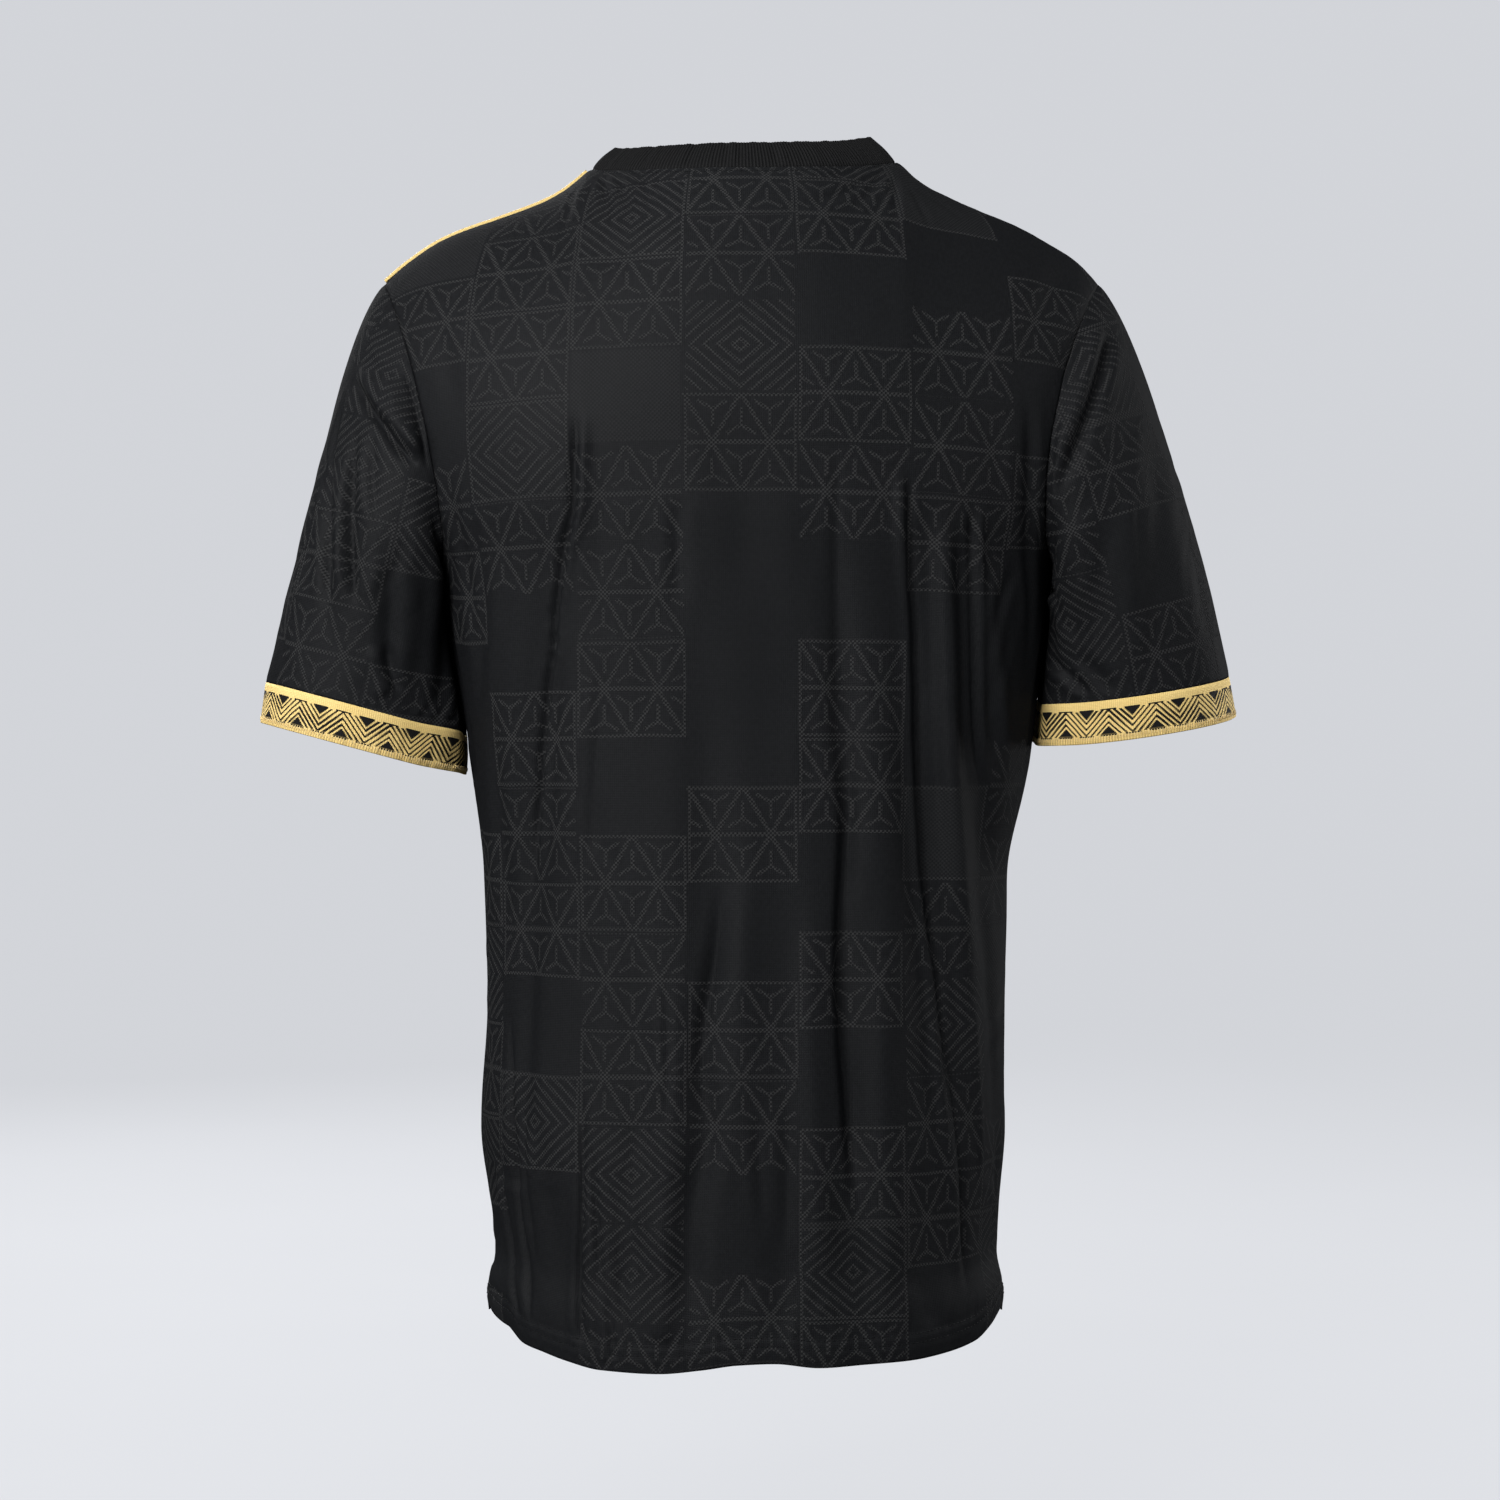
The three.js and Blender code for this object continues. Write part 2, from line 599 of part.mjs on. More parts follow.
// ---------------------------------------------------------------- set back from the seams
// Each run is one seam of a piece, as a list of [column, row]; `inner` says where the piece's own cloth is.
function runsOf(name) {
  if (isRing(name)) {
    const n = grids[name][0].length;
    const ring = (j, next) => ({
      run: [...Array(n).keys()].map((i) => [i, j]),
      closed: true,
      inner: ([i]) => [i, next],
    });
    return name.startsWith("sleeve")
      ? [ring(0, 1), ring(ALONG_SLEEVE, ALONG_SLEEVE - 1)]
      : [ring(0, 1)];
  }
  const span = (from, to, make) =>
    [...Array(to - from + 1).keys()].map((k) => make(from + k));
  const low = (i) => clamp(i, 2, COLS - 2);
  return [0, COLS]
    .flatMap((i) => [
      { run: span(0, LOWER, (j) => [i, j]), inner: ([, j]) => [low(i), j] },
      {
        run: span(LOWER, ROWS, (j) => [i, j]),
        inner: ([, j]) => [low(i), Math.max(LOWER - 1, j - 2)],
      },
    ])
    .concat([
      {
        run: span(0, ON_SHOULDER, (i) => [i, ROWS]),
        inner: ([i]) => [low(i), ROWS - 2],
      },
      {
        run: span(ON_SHOULDER, ON_SHOULDER + ON_NECK, (i) => [i, ROWS]),
        inner: ([i]) => [i, ROWS - 2],
      },
      {
        run: span(ON_SHOULDER + ON_NECK, COLS, (i) => [i, ROWS]),
        inner: ([i]) => [low(i), ROWS - 2],
      },
    ]);
}
const setBack = {};
for (const [name, rows] of Object.entries(grids)) {
  const moved = rows.map((row) => row.map((p) => p.clone()));
  for (const { run, closed, inner } of runsOf(name)) {
    run.forEach(([i, j], m) => {
      const at = (k) => {
        const [a, b] =
          run[closed ? (k + run.length) % run.length : clamp(k, 0, run.length - 1)];
        return rows[b][a];
      };
      const along = at(m + 1).clone().sub(at(m - 1));
      const into = normals[name][j][i].clone().cross(along).normalize();
      const [a, b] = inner([i, j]);
      if (into.dot(rows[b][a].clone().sub(rows[j][i])) < 0) into.negate();
      moved[j][i].addScaledVector(into, SEAM_GAP / 2);
    });
  }
  setBack[name] = moved;
}

// ---------------------------------------------------------------- solids
// Closes two skins, outer and inner, into one wall. Each is a list of rows; `wrap` joins a row's ends.
function wall(outer, inner, wrap) {
  const nj = outer.length,
    ni = outer[0].length;
  const points = [];
  for (const skin of [outer, inner])
    for (const row of skin) for (const p of row) points.push(p.x, p.y, p.z);
  const id = (s, j, i) => s * nj * ni + j * ni + (i % ni);
  const faces = [];
  const quad = (a, b, c, d) => faces.push(a, b, c, a, c, d);
  const across = wrap ? ni : ni - 1;
  for (let j = 0; j + 1 < nj; j++)
    for (let i = 0; i < across; i++) {
      quad(id(0, j, i), id(0, j, i + 1), id(0, j + 1, i + 1), id(0, j + 1, i));
      quad(id(1, j, i), id(1, j + 1, i), id(1, j + 1, i + 1), id(1, j, i + 1));
    }
  for (let i = 0; i < across; i++) {
    quad(id(0, 0, i + 1), id(0, 0, i), id(1, 0, i), id(1, 0, i + 1));
    const j = nj - 1;
    quad(id(0, j, i), id(0, j, i + 1), id(1, j, i + 1), id(1, j, i));
  }
  if (!wrap)
    for (let j = 0; j + 1 < nj; j++) {
      quad(id(0, j, 0), id(0, j + 1, 0), id(1, j + 1, 0), id(1, j, 0));
      const i = ni - 1;
      quad(id(0, j + 1, i), id(0, j, i), id(1, j, i), id(1, j + 1, i));
    }
  // face out: a positive volume
  let volume = 0;
  const at = (k) => new THREE.Vector3(...points.slice(3 * k, 3 * k + 3));
  for (let f = 0; f < faces.length; f += 3)
    volume += at(faces[f]).dot(at(faces[f + 1]).cross(at(faces[f + 2])));
  if (volume < 0)
    for (let f = 0; f < faces.length; f += 3)
      [faces[f + 1], faces[f + 2]] = [faces[f + 2], faces[f + 1]];
  const g = new THREE.BufferGeometry();
  g.setAttribute("position", new THREE.Float32BufferAttribute(points, 3));
  g.setIndex(faces);
  return g;
}
const thick = (rows, ns, by) =>
  rows.map((row, j) =>
    row.map((p, i) => p.clone().addScaledVector(ns[j][i], -by)),
  );
const WALLS = {
  back: CLOTH,
  front: CLOTH,
  sleeve_left: CLOTH,
  sleeve_right: CLOTH,
  cuff_left: TRIM,
  cuff_right: TRIM,
  collar: RIB,
};

const BLACK = { color: 0x17191c, roughness: 0.72, metalness: 0 };
const RIB_BLACK = { color: 0x1b1c1e, roughness: 0.9, metalness: 0 };
const GOLD = { color: 0xd0aa5a, roughness: 0.6, metalness: 0 };
const NAMES = {
  back: "back_panel",
  front: "front_panel",
  sleeve_left: "sleeve_left",
  sleeve_right: "sleeve_right",
  cuff_left: "sleeve_band_left",
  cuff_right: "sleeve_band_right",
  collar: "neckband",
};
const jersey = new THREE.Group();
function add(name, geometry, finish) {
  const mesh = new THREE.Mesh(geometry, new THREE.MeshStandardMaterial(finish));
  mesh.name = name;
  jersey.add(mesh);
}
for (const [name, rows] of Object.entries(setBack))
  add(
    NAMES[name],
    wall(rows, thick(rows, normals[name], WALLS[name]), isRing(name)),
    name.startsWith("cuff") ? GOLD : name === "collar" ? RIB_BLACK : BLACK,
  );

// The shoulder tapes lie on the panels: points of the panels' own columns near the shoulder line, moved out.
// `forward` is how far the tape's middle lies in front of the shoulder line and `lift` its gap from the panel;
// `arm` and `neck` are the shares of the end columns left bare.
const TAPES = {
  left: { first: 0, last: ON_SHOULDER, forward: 0.5, lift: 0.5, arm: 0.08, neck: 0.14 },
  right: { first: COLS, last: ON_SHOULDER + ON_NECK, forward: 9, lift: 0.8, arm: 0.08, neck: 0.14 },
};
// The point at a distance down a panel's column from the shoulder line, and the normal there.
function downColumn(side, i, distance) {
  let left = distance;
  for (let j = ROWS; j > 0; j--) {
    const a = grids[side][j][i],
      b = grids[side][j - 1][i];
    const length = a.distanceTo(b);
    if (left > length) {
      left -= length;
      continue;
    }
    const s = left / length;
    return {
      p: a.clone().lerp(b, s),
      n: normals[side][j][i].clone().lerp(normals[side][j - 1][i], s).normalize(),
    };
  }
}
function tapeGeometry({ first, last, forward, lift, arm, neck }) {
  const across = [-0.5, 0, 0.5].map((s) => s * TAPE_WIDTH + forward);
  if (across[0] < 0) across[1] = 0; // its middle line runs on the shoulder line itself
  const low = across.map(() => []),
    high = across.map(() => []);
  const step = Math.sign(last - first);
  for (let i = first; i !== last + step; i += step)
    across.forEach((f, m) => {
      const side = f > 0 ? "front" : "back";
      const here = downColumn(side, i, Math.abs(f));
      const trim = i === first ? arm : i === last ? neck : 0;
      if (trim) {
        const next = downColumn(side, i === first ? i + step : i - step, Math.abs(f));
        here.p.lerp(next.p, trim);
        here.n.lerp(next.n, trim).normalize();
      }
      low[m].push(here.p.clone().addScaledVector(here.n, lift));
      high[m].push(here.p.clone().addScaledVector(here.n, lift + TAPE));
    });
  return wall(high, low, false);
}
add("shoulder_tape_left", tapeGeometry(TAPES.left), GOLD);
add("shoulder_tape_right", tapeGeometry(TAPES.right), GOLD);

export default jersey;
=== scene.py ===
"""Football jersey as worn, with no wearer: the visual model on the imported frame.

Every piece is the same surface as its CAD solid, at a finer grid, with its folds, seams, hems and stitches.
All numbers are millimetres until a mesh is made.
"""

import math

import bpy
import numpy as np
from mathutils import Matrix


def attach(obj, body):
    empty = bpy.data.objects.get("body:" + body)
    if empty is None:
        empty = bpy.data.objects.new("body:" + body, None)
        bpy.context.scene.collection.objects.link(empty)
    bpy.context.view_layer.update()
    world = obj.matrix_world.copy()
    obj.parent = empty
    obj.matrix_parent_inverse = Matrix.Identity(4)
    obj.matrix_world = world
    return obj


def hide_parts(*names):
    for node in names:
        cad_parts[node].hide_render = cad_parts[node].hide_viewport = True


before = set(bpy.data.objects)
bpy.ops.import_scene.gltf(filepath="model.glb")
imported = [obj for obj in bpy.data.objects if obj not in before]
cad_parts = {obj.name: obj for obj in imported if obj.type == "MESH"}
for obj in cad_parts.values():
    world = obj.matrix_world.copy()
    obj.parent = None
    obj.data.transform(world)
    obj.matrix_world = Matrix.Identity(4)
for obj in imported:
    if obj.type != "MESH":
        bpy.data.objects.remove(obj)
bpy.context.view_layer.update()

# ------------------------------------------------------------------ camera
EYE = np.array([-4.3, 2000.0, -359.6])  # level, behind the wearer, looks along -Y
FOCAL = 3226.0  # pixels, in a picture 1500 wide
HALF = 750.0
scene = bpy.context.scene
lens = bpy.data.cameras.new("camera")
lens.sensor_width = 36.0
lens.lens = 36.0 * FOCAL / (2 * HALF)
lens.clip_end = 60.0
camera = bpy.data.objects.new("camera", lens)
camera.location = EYE / 1000
camera.rotation_euler = (math.pi / 2, 0, math.pi)
scene.collection.objects.link(camera)
scene.camera = camera


def seen_at(p):
    """Where points show in the picture, in its 1500-pixel frame."""
    scale = FOCAL / (EYE[1] - p[..., 1])
    return np.stack(
        [HALF - (p[..., 0] - EYE[0]) * scale, HALF - (p[..., 2] - EYE[2]) * scale], -1
    )


# ------------------------------------------------------------------ tables, as the CAD has them
# z: left, right, back, front
TORSO = np.array(
    [
        [40, 241, 241, 118, 133],
        [-71, 240, 240, 118, 133],
        [-115, 236, 237, 118, 133],
        [-165, 224, 226, 119, 133],
        [-210, 206, 209, 119, 134],
        [-250, 188, 192, 117, 134],
        [-300, 179, 185, 115, 132],
        [-365, 168, 177, 114, 130],
        [-440, 159.5, 164, 115, 128],
        [-515, 157.5, 161.5, 117, 127],
        [-590, 160.5, 161, 120, 127],
        [-640, 154.5, 157, 122, 128],
        [-668, 152.5, 156, 123, 129],
        [-694, 157.5, 160.5, 125, 130.5],
        [-730, 156.5, 160, 127, 132],
    ]
)
# x: z
RIDGE = np.array(
    [
        [-245, -97],
        [-220, -71],
        [-206, -57],
        [-190, -46.5],
        [-168, -34.5],
        [-144, -25],
        [-122, -16],
        [-106, -6.5],
        [-95, 3],
        [-86, 5.5],
        [-68, 11.5],
        [-40, 20.5],
        [0, 23.5],
        [40, 19],
        [68, 8.5],
        [85, 1],
        [94, -1],
        [103, -8],
        [111, -14],
        [123, -20.5],
        [152, -31.5],
        [171, -38],
        [188, -45.5],
        [206, -57.5],
        [222, -71],
        [245, -95],
    ]
)
# z: back, back right, front, front right
ARMHOLE = np.array(
    [
        [-71, 0.925, 0.917, 0.925, 0.917],
        [-88, 0.896, 0.882, 0.886, 0.88],
        [-115, 0.865, 0.843, 0.842, 0.838],
        [-140, 0.851, 0.824, 0.818, 0.815],
        [-165, 0.851, 0.823, 0.815, 0.813],
        [-190, 0.866, 0.84, 0.834, 0.833],
        [-210, 0.889, 0.869, 0.866, 0.866],
        [-228, 0.918, 0.908, 0.905, 0.905],
        [-241, 0.954, 0.952, 0.95, 0.95],
        [-248, 0.986, 0.986, 0.985, 0.985],
        [-250, 1, 1, 1, 1],
    ]
)
NECK_BACK = np.array(
    [
        [94, -1],
        [91.5, -2.8],
        [84, -5.6],
        [68, -8.6],
        [40, -10.1],
        [0, -10.2],
        [-40, -9],
        [-68, -6.3],
        [-85, -2.2],
        [-92.5, 1],
        [-95, 3],
    ]
)
NECK_FRONT = np.array(
    [
        [94, -1],
        [90.5, -20],
        [81, -42],
        [63, -64],
        [36, -80],
        [0, -86],
        [-36, -80],
        [-63, -64],
        [-81, -42],
        [-91, -19],
        [-95, 3],
    ]
)
# side, top, bottom, x at the top, middle and bottom, width, depth, lip, deepest
FOLDS = [
    ("back", -165, -690, -55, -61, -68, 12, 5.5, 0.35, 0.7),
    ("back", -175, -690, -94, -108, -126, 13, 6.5, 0.35, 0.4),
    ("back", -200, -560, -130, -142, -150, 11, 4.5, 0.2, 0.45),
    ("back", -185, -560, 107, 122, 136, 13, 6, 0.35, 0.5),
    ("back", -200, -700, 34, 20, 33, 13, 3.5, 0.3, 0.75),
    ("front", -180, -700, -112, -98, -92, 12, 7, 0.4, 0.5),
    ("front", -195, -700, 108, 101, 84, 12, 8, 0.4, 0.6),
    ("front", -330, -712, -34, -38, -47, 13, 5, 0.35, 0.75),
    ("front", -380, -712, 26, 31, 38, 14, 4.5, 0.3, 0.8),
    ("front", -260, -600, 146, 141, 138, 10, 6, 0.4, 0.4),
]
SLEEVES = {
    "left": dict(x=234.6, y=2, z=-334, width=60.5, depth=57, rise=16.2, dip=-1.5, arrive=0.25, lean=0.15, flare=-0.6),
    "right": dict(x=-243, y=2, z=-322, width=57.5, depth=57, rise=8.5, dip=4.5, arrive=0.19, lean=0.06, flare=3),
}
# turn: lean, stand
BAND = np.array(
    [
        [0, 13.5, 12.5],
        [45, 14, 16.5],
        [90, 14, 17.8],
        [135, 15, 17.5],
        [180, 16.5, 16.5],
        [225, 16.5, 15.5],
        [270, 12.5, 19],
        [315, 15, 14.5],
        [360, 13.5, 12.5],
    ]
)
HEM_Z, UNDERARM_Z, SHOULDER_Z = -703.0, -250.0, -71.0
DROP = {"back": 19.5, "front": 12.0}
LOWER, UPPER, ON_SHOULDER, ON_NECK = 12, 11, 10, 14
ROWS, COLS = LOWER + UPPER, 2 * ON_SHOULDER + ON_NECK
CUFF = 25.2
SAG = 46.0
SECTION = 2.3
KNIT, RIB, TRIM = 1.0, 1.9, 1.5  # thickness of the body cloth, the neckband and the sleeve bands


# ------------------------------------------------------------------ helpers
def smooth(v):
    s = np.clip(v, 0, 1)
    return s * s * (3 - 2 * s)


def unit(v):
    return v / np.maximum(np.linalg.norm(v, axis=-1, keepdims=True), 1e-12)


def read(xs, ys, at):
    """A smooth curve through a table that doesn't overshoot."""
    xs, ys = np.asarray(xs, float), np.asarray(ys, float)
    if xs[0] > xs[-1]:
        xs, ys = xs[::-1], ys[::-1]
    h = np.diff(xs)
    slope = np.diff(ys) / h
    m = np.empty(len(xs))
    m[0], m[-1] = slope[0], slope[-1]
    a, b = slope[:-1], slope[1:]
    same = a * b > 0
    m[1:-1] = np.where(same, 2 * a * b / np.where(same, a + b, 1), 0)
    t = np.clip(at, xs[0], xs[-1])
    k = np.clip(np.searchsorted(xs, t, side="right") - 1, 0, len(xs) - 2)
    s = (t - xs[k]) / h[k]
    s2, s3 = s * s, s * s * s
    return (
        (2 * s3 - 3 * s2 + 1) * ys[k]
        + (s3 - 2 * s2 + s) * h[k] * m[k]
        + (-2 * s3 + 3 * s2) * ys[k + 1]
        + (s3 - s2) * h[k] * m[k + 1]
    )


def along_line(rows, s):
    marks = np.r_[0, np.cumsum(np.hypot(*np.diff(rows, axis=0).T))]
    marks /= marks[-1]
    return read(marks, rows[:, 0], s), read(marks, rows[:, 1], s)


def oval(share):
    return (1 - np.abs(np.clip(share, -1, 1)) ** SECTION) ** (1 / SECTION)


def half_width(x, z):
    return np.where(
        x >= 0, read(TORSO[:, 0], TORSO[:, 1], z), read(TORSO[:, 0], TORSO[:, 2], z)
    )


def depth_at(side, z):
    return read(TORSO[:, 0], TORSO[:, 3 if side == "back" else 4], z)


def ridge(x):
    return read(RIDGE[:, 0], RIDGE[:, 1], x)


def fall(side, x, z):
    drop = np.maximum(0, ridge(x) - z)
    out = smooth((np.abs(x) - 95) / 110)
    reach = 190 if side == "back" else 310 - 80 * out
    power = 2 if side == "back" else 1.5 + 0.3 * out
    return (1 - (1 - np.minimum(1, drop / reach)) ** power) ** (1 / power)


def armhole_share(side, x, z):
    c = 1 if side == "back" else 3
    return np.where(
        x >= 0,
        read(ARMHOLE[:, 0], ARMHOLE[:, c], z),
        read(ARMHOLE[:, 0], ARMHOLE[:, c + 1], z),
    )


def main_folds(side, x, z):
    total = np.zeros_like(x)
    for f_side, top, bottom, xt, xm, xb, width, depth, lip, deepest in FOLDS:
        if f_side != side:
            continue
        s = (top - z) / (top - bottom)
        middle = xt * (1 - s) * (1 - 2 * s) + xm * 4 * s * (1 - s) + xb * s * (2 * s - 1)
        grow = np.where(
            s < deepest,
            smooth(s / deepest),
            1 - 0.75 * smooth((s - deepest) / (1.05 - deepest)),
        )
        a = (x - middle) / width
        lips = np.exp(-((a - 1.7) ** 2)) + np.exp(-((a + 1.7) ** 2))
        d = depth * grow * (lip * lips - np.exp(-a * a))
        total += np.where((z > top) | (z < bottom - 60), 0, d)
    return total


def calm(side, x, z):
    w = half_width(x, z)
    edge = np.where(z > UNDERARM_Z, w * armhole_share(side, x, z), w)
    return smooth((edge - np.abs(x)) / 9) * smooth((ridge(x) - z) / 30)


def on_body(side, x, z):
    x, z = np.broadcast_arrays(np.asarray(x, float), np.asarray(z, float))
    w = half_width(x, z)
    share = x / w
    deep = depth_at(side, z)
    y = deep * oval(share) * fall(side, x, z)
    sign = 1 if side == "back" else -1
    f = main_folds(side, x, z) * calm(side, x, z)
    nx = np.sign(x) * np.abs(share) ** (SECTION - 1) / w
    ny = np.maximum(oval(share), 1e-3) ** (SECTION - 1) / deep
    n = np.hypot(nx, ny)
    return np.stack([x + f * nx / n, sign * (y + f * ny / n), z], -1)


def armhole_x(side, sign, z):
    x = np.full_like(np.asarray(z, float), sign)
    return sign * half_width(x, z) * armhole_share(side, x, z)


def armhole_rows(side, sign, jj):
    z = np.linspace(UNDERARM_Z, SHOULDER_Z, 801)
    p = on_body(side, armhole_x(side, sign, z), z)
    marks = np.r_[0, np.cumsum(np.linalg.norm(np.diff(p, axis=0), axis=1))]
    return np.interp(marks[-1] * (jj - LOWER) / UPPER, marks, z)


def panel_grid(side, ii, jj):
    """The CAD panel's own surface at any columns ii (0..COLS) and rows jj (0..ROWS)."""
    neck = NECK_BACK if side == "back" else NECK_FRONT
    tip = {s: float(armhole_x(side, s, np.array(SHOULDER_Z))) for s in (1, -1)}
    turn = np.pi * ii / COLS
    c = np.cos(turn)
    inward = 1 - np.exp(-np.minimum(ii, COLS - ii) / 2.2)
    meet = UNDERARM_Z - SAG * inward

    def section_x(z):
        return c * half_width(c, z)

    # the top edge
    left = tip[1] + (neck[0, 0] - tip[1]) * np.clip(ii / ON_SHOULDER, 0, 1)
    right = neck[-1, 0] + (tip[-1] - neck[-1, 0]) * np.clip(
        (ii - ON_SHOULDER - ON_NECK) / ON_SHOULDER, 0, 1
    )
    nx, nz = along_line(neck, np.clip((ii - ON_SHOULDER) / ON_NECK, 0, 1))
    on_left, on_right = ii <= ON_SHOULDER, ii >= ON_SHOULDER + ON_NECK
    top_x = np.where(on_left, left, np.where(on_right, right, nx))
    top_z = np.where(on_left | on_right, ridge(top_x), nz)
    top_z = np.where((ii == 0) | (ii == COLS), SHOULDER_Z, top_z)

    upper = jj[jj > LOWER]
    zl_all, zr_all = armhole_rows(side, 1, jj), armhole_rows(side, -1, jj)
    xl_all = armhole_x(side, 1, zl_all)
    xr_all = armhole_x(side, -1, zr_all)
    hem = HEM_Z - DROP[side] * np.sin(turn).clip(0) ** 0.7
    bottom_x = section_x(meet)
    corner_l = float(half_width(np.array(1.0), np.array(UNDERARM_Z)))
    corner_r = -float(half_width(np.array(-1.0), np.array(UNDERARM_Z)))
    u = ii / COLS
    far = NECK_BACK[0, 1]

    def fan(at):
        return np.exp(-(((ii - at) / 2.2) ** 2))

    xs, zs = [], []
    for k, j in enumerate(jj):
        if j <= LOWER:
            z = hem + (meet - hem) * j / LOWER
            x = section_x(z)
        else:
            zl, zr = zl_all[k], zr_all[k]
            w = 1 - (1 - (j - LOWER) / UPPER) ** 1.7
            wx = w**4
            out = 0
            if side == "front":
                out = 34 * np.sqrt(1 - w) * w**3 * (fan(ON_SHOULDER + 0.6) - fan(COLS - ON_SHOULDER - 0.6))

            def level(ze, wj):
                return ze + (UNDERARM_Z - SAG + wj * (far - UNDERARM_Z + SAG) - ze) * inward

            x = (
                (1 - wx) * bottom_x
                + wx * top_x
                + (1 - u) * xl_all[k]
                + u * xr_all[k]
                + out
                - (
                    (1 - u) * ((1 - wx) * corner_l + wx * tip[1])
                    + u * ((1 - wx) * corner_r + wx * tip[-1])
                )
            )
            z = level(np.where(u < 0.5, zl, zr), w) + w * (top_z - level(np.full_like(ii, SHOULDER_Z), 1.0))
        xs.append(x)
        zs.append(z)
    p = on_body(side, np.array(xs), np.array(zs))
    p[np.ix_(jj == ROWS, on_left | on_right)] *= (1, 0, 1)
    p[np.ix_(jj <= LOWER, (ii == 0) | (ii == COLS))] *= (1, 0, 1)
    return p


def surface_normals(p, wrap=False):
    """Normals of a grid of points, by differences. The sign is that of the row's direction x the column's."""
    dj = np.gradient(p, axis=0)
    if wrap:
        di = (np.roll(p, -1, axis=1) - np.roll(p, 1, axis=1)) / 2
    else:
        di = np.gradient(p, axis=1)
    return unit(np.cross(di, dj))


def flatten(p, n, axis, middle, wrap=False):
    """Where each point of a piece lies in the flat cloth, in mm: across, and along the axis."""
    ev = unit(axis - (n * axis).sum(-1, keepdims=True) * n)
    eu = np.cross(ev, n)
    if wrap:
        p = np.concatenate([p, p[:, :1]], 1)
        ev = np.concatenate([ev, ev[:, :1]], 1)
        eu = np.concatenate([eu, eu[:, :1]], 1)
    flat = np.zeros(p.shape[:2] + (2,))
    step = np.diff(p, axis=0)
    flat[1:, middle, 1] = np.cumsum(
        (step[:, middle] * (ev[1:, middle] + ev[:-1, middle]) / 2).sum(-1)
    )
    step = np.diff(p, axis=1)
    across = np.stack(
        [
            (step * (eu[:, 1:] + eu[:, :-1]) / 2).sum(-1),
            (step * (ev[:, 1:] + ev[:, :-1]) / 2).sum(-1),
        ],
        -1,
    )
    flat[:, middle + 1 :] = flat[:, middle : middle + 1] + np.cumsum(across[:, middle:], 1)
    flat[:, :middle] = flat[:, middle : middle + 1] - np.cumsum(
        across[:, :middle][:, ::-1], 1
    )[:, ::-1]
    return flat


def lay_flat(p, start, rounds=60):
    """Lays a grid of points flat with as little stretch as it can, from a first guess."""
    m, n = p.shape[:2]
    k = np.arange(m * n).reshape(m, n)
    a, b_, c, d = k[:-1, :-1].ravel(), k[:-1, 1:].ravel(), k[1:, 1:].ravel(), k[1:, :-1].ravel()
    tri = np.concatenate([np.stack([a, b_, c], 1), np.stack([a, c, d], 1)])
    q, u = p.reshape(-1, 3)[tri], start.reshape(-1, 2).copy()
    e1, e2 = q[:, 1] - q[:, 0], q[:, 2] - q[:, 0]
    x = unit(e1)
    ahead = (e2 * x).sum(-1)
    g1, g2 = u[tri[:, 1]] - u[tri[:, 0]], u[tri[:, 2]] - u[tri[:, 0]]
    way = np.sign(np.median(g1[:, 0] * g2[:, 1] - g1[:, 1] * g2[:, 0]))
    own = np.zeros((len(tri), 3, 2))
    own[:, 1, 0] = np.linalg.norm(e1, axis=-1)
    own[:, 2, 0] = ahead
    own[:, 2, 1] = way * np.linalg.norm(e2 - ahead[:, None] * x, axis=-1)
    big = np.zeros((m * n, m * n))
    edges = []
    for s0, s1, opposite in ((0, 1, 2), (1, 2, 0), (2, 0, 1)):
        v1, v2 = own[:, s0] - own[:, opposite], own[:, s1] - own[:, opposite]
        cross = np.abs(v1[:, 0] * v2[:, 1] - v1[:, 1] * v2[:, 0])
        w = np.clip((v1 * v2).sum(-1) / np.maximum(cross, 1e-6), 0.05, 20)
        i0, i1 = tri[:, s0], tri[:, s1]
        edges.append((w, i0, i1, own[:, s0] - own[:, s1]))
        for r, c_, sign in ((i0, i0, 1), (i1, i1, 1), (i0, i1, -1), (i1, i0, -1)):
            np.add.at(big, (r, c_), sign * w)
    pin = k[m // 2, n // 2]
    big[pin, pin] += 10.0
    back_solve = np.linalg.inv(big)
    held = u[pin].copy()
    for _ in range(rounds):
        turn_c = np.zeros(len(tri))
        turn_s = np.zeros(len(tri))
        for w, i0, i1, own_e in edges:
            du = u[i0] - u[i1]
            turn_c += w * (du[:, 0] * own_e[:, 0] + du[:, 1] * own_e[:, 1])
            turn_s += w * (du[:, 1] * own_e[:, 0] - du[:, 0] * own_e[:, 1])
        size = np.maximum(np.hypot(turn_c, turn_s), 1e-12)
        cs, sn = turn_c / size, turn_s / size
        right = np.zeros((m * n, 2))
        right[pin] += 10.0 * held
        for w, i0, i1, own_e in edges:
            turned = np.stack([cs * own_e[:, 0] - sn * own_e[:, 1], sn * own_e[:, 0] + cs * own_e[:, 1]], 1) * w[:, None]
            np.add.at(right, i0, turned)
            np.add.at(right, i1, -turned)
        u = back_solve @ right
    return u.reshape(m, n, 2)


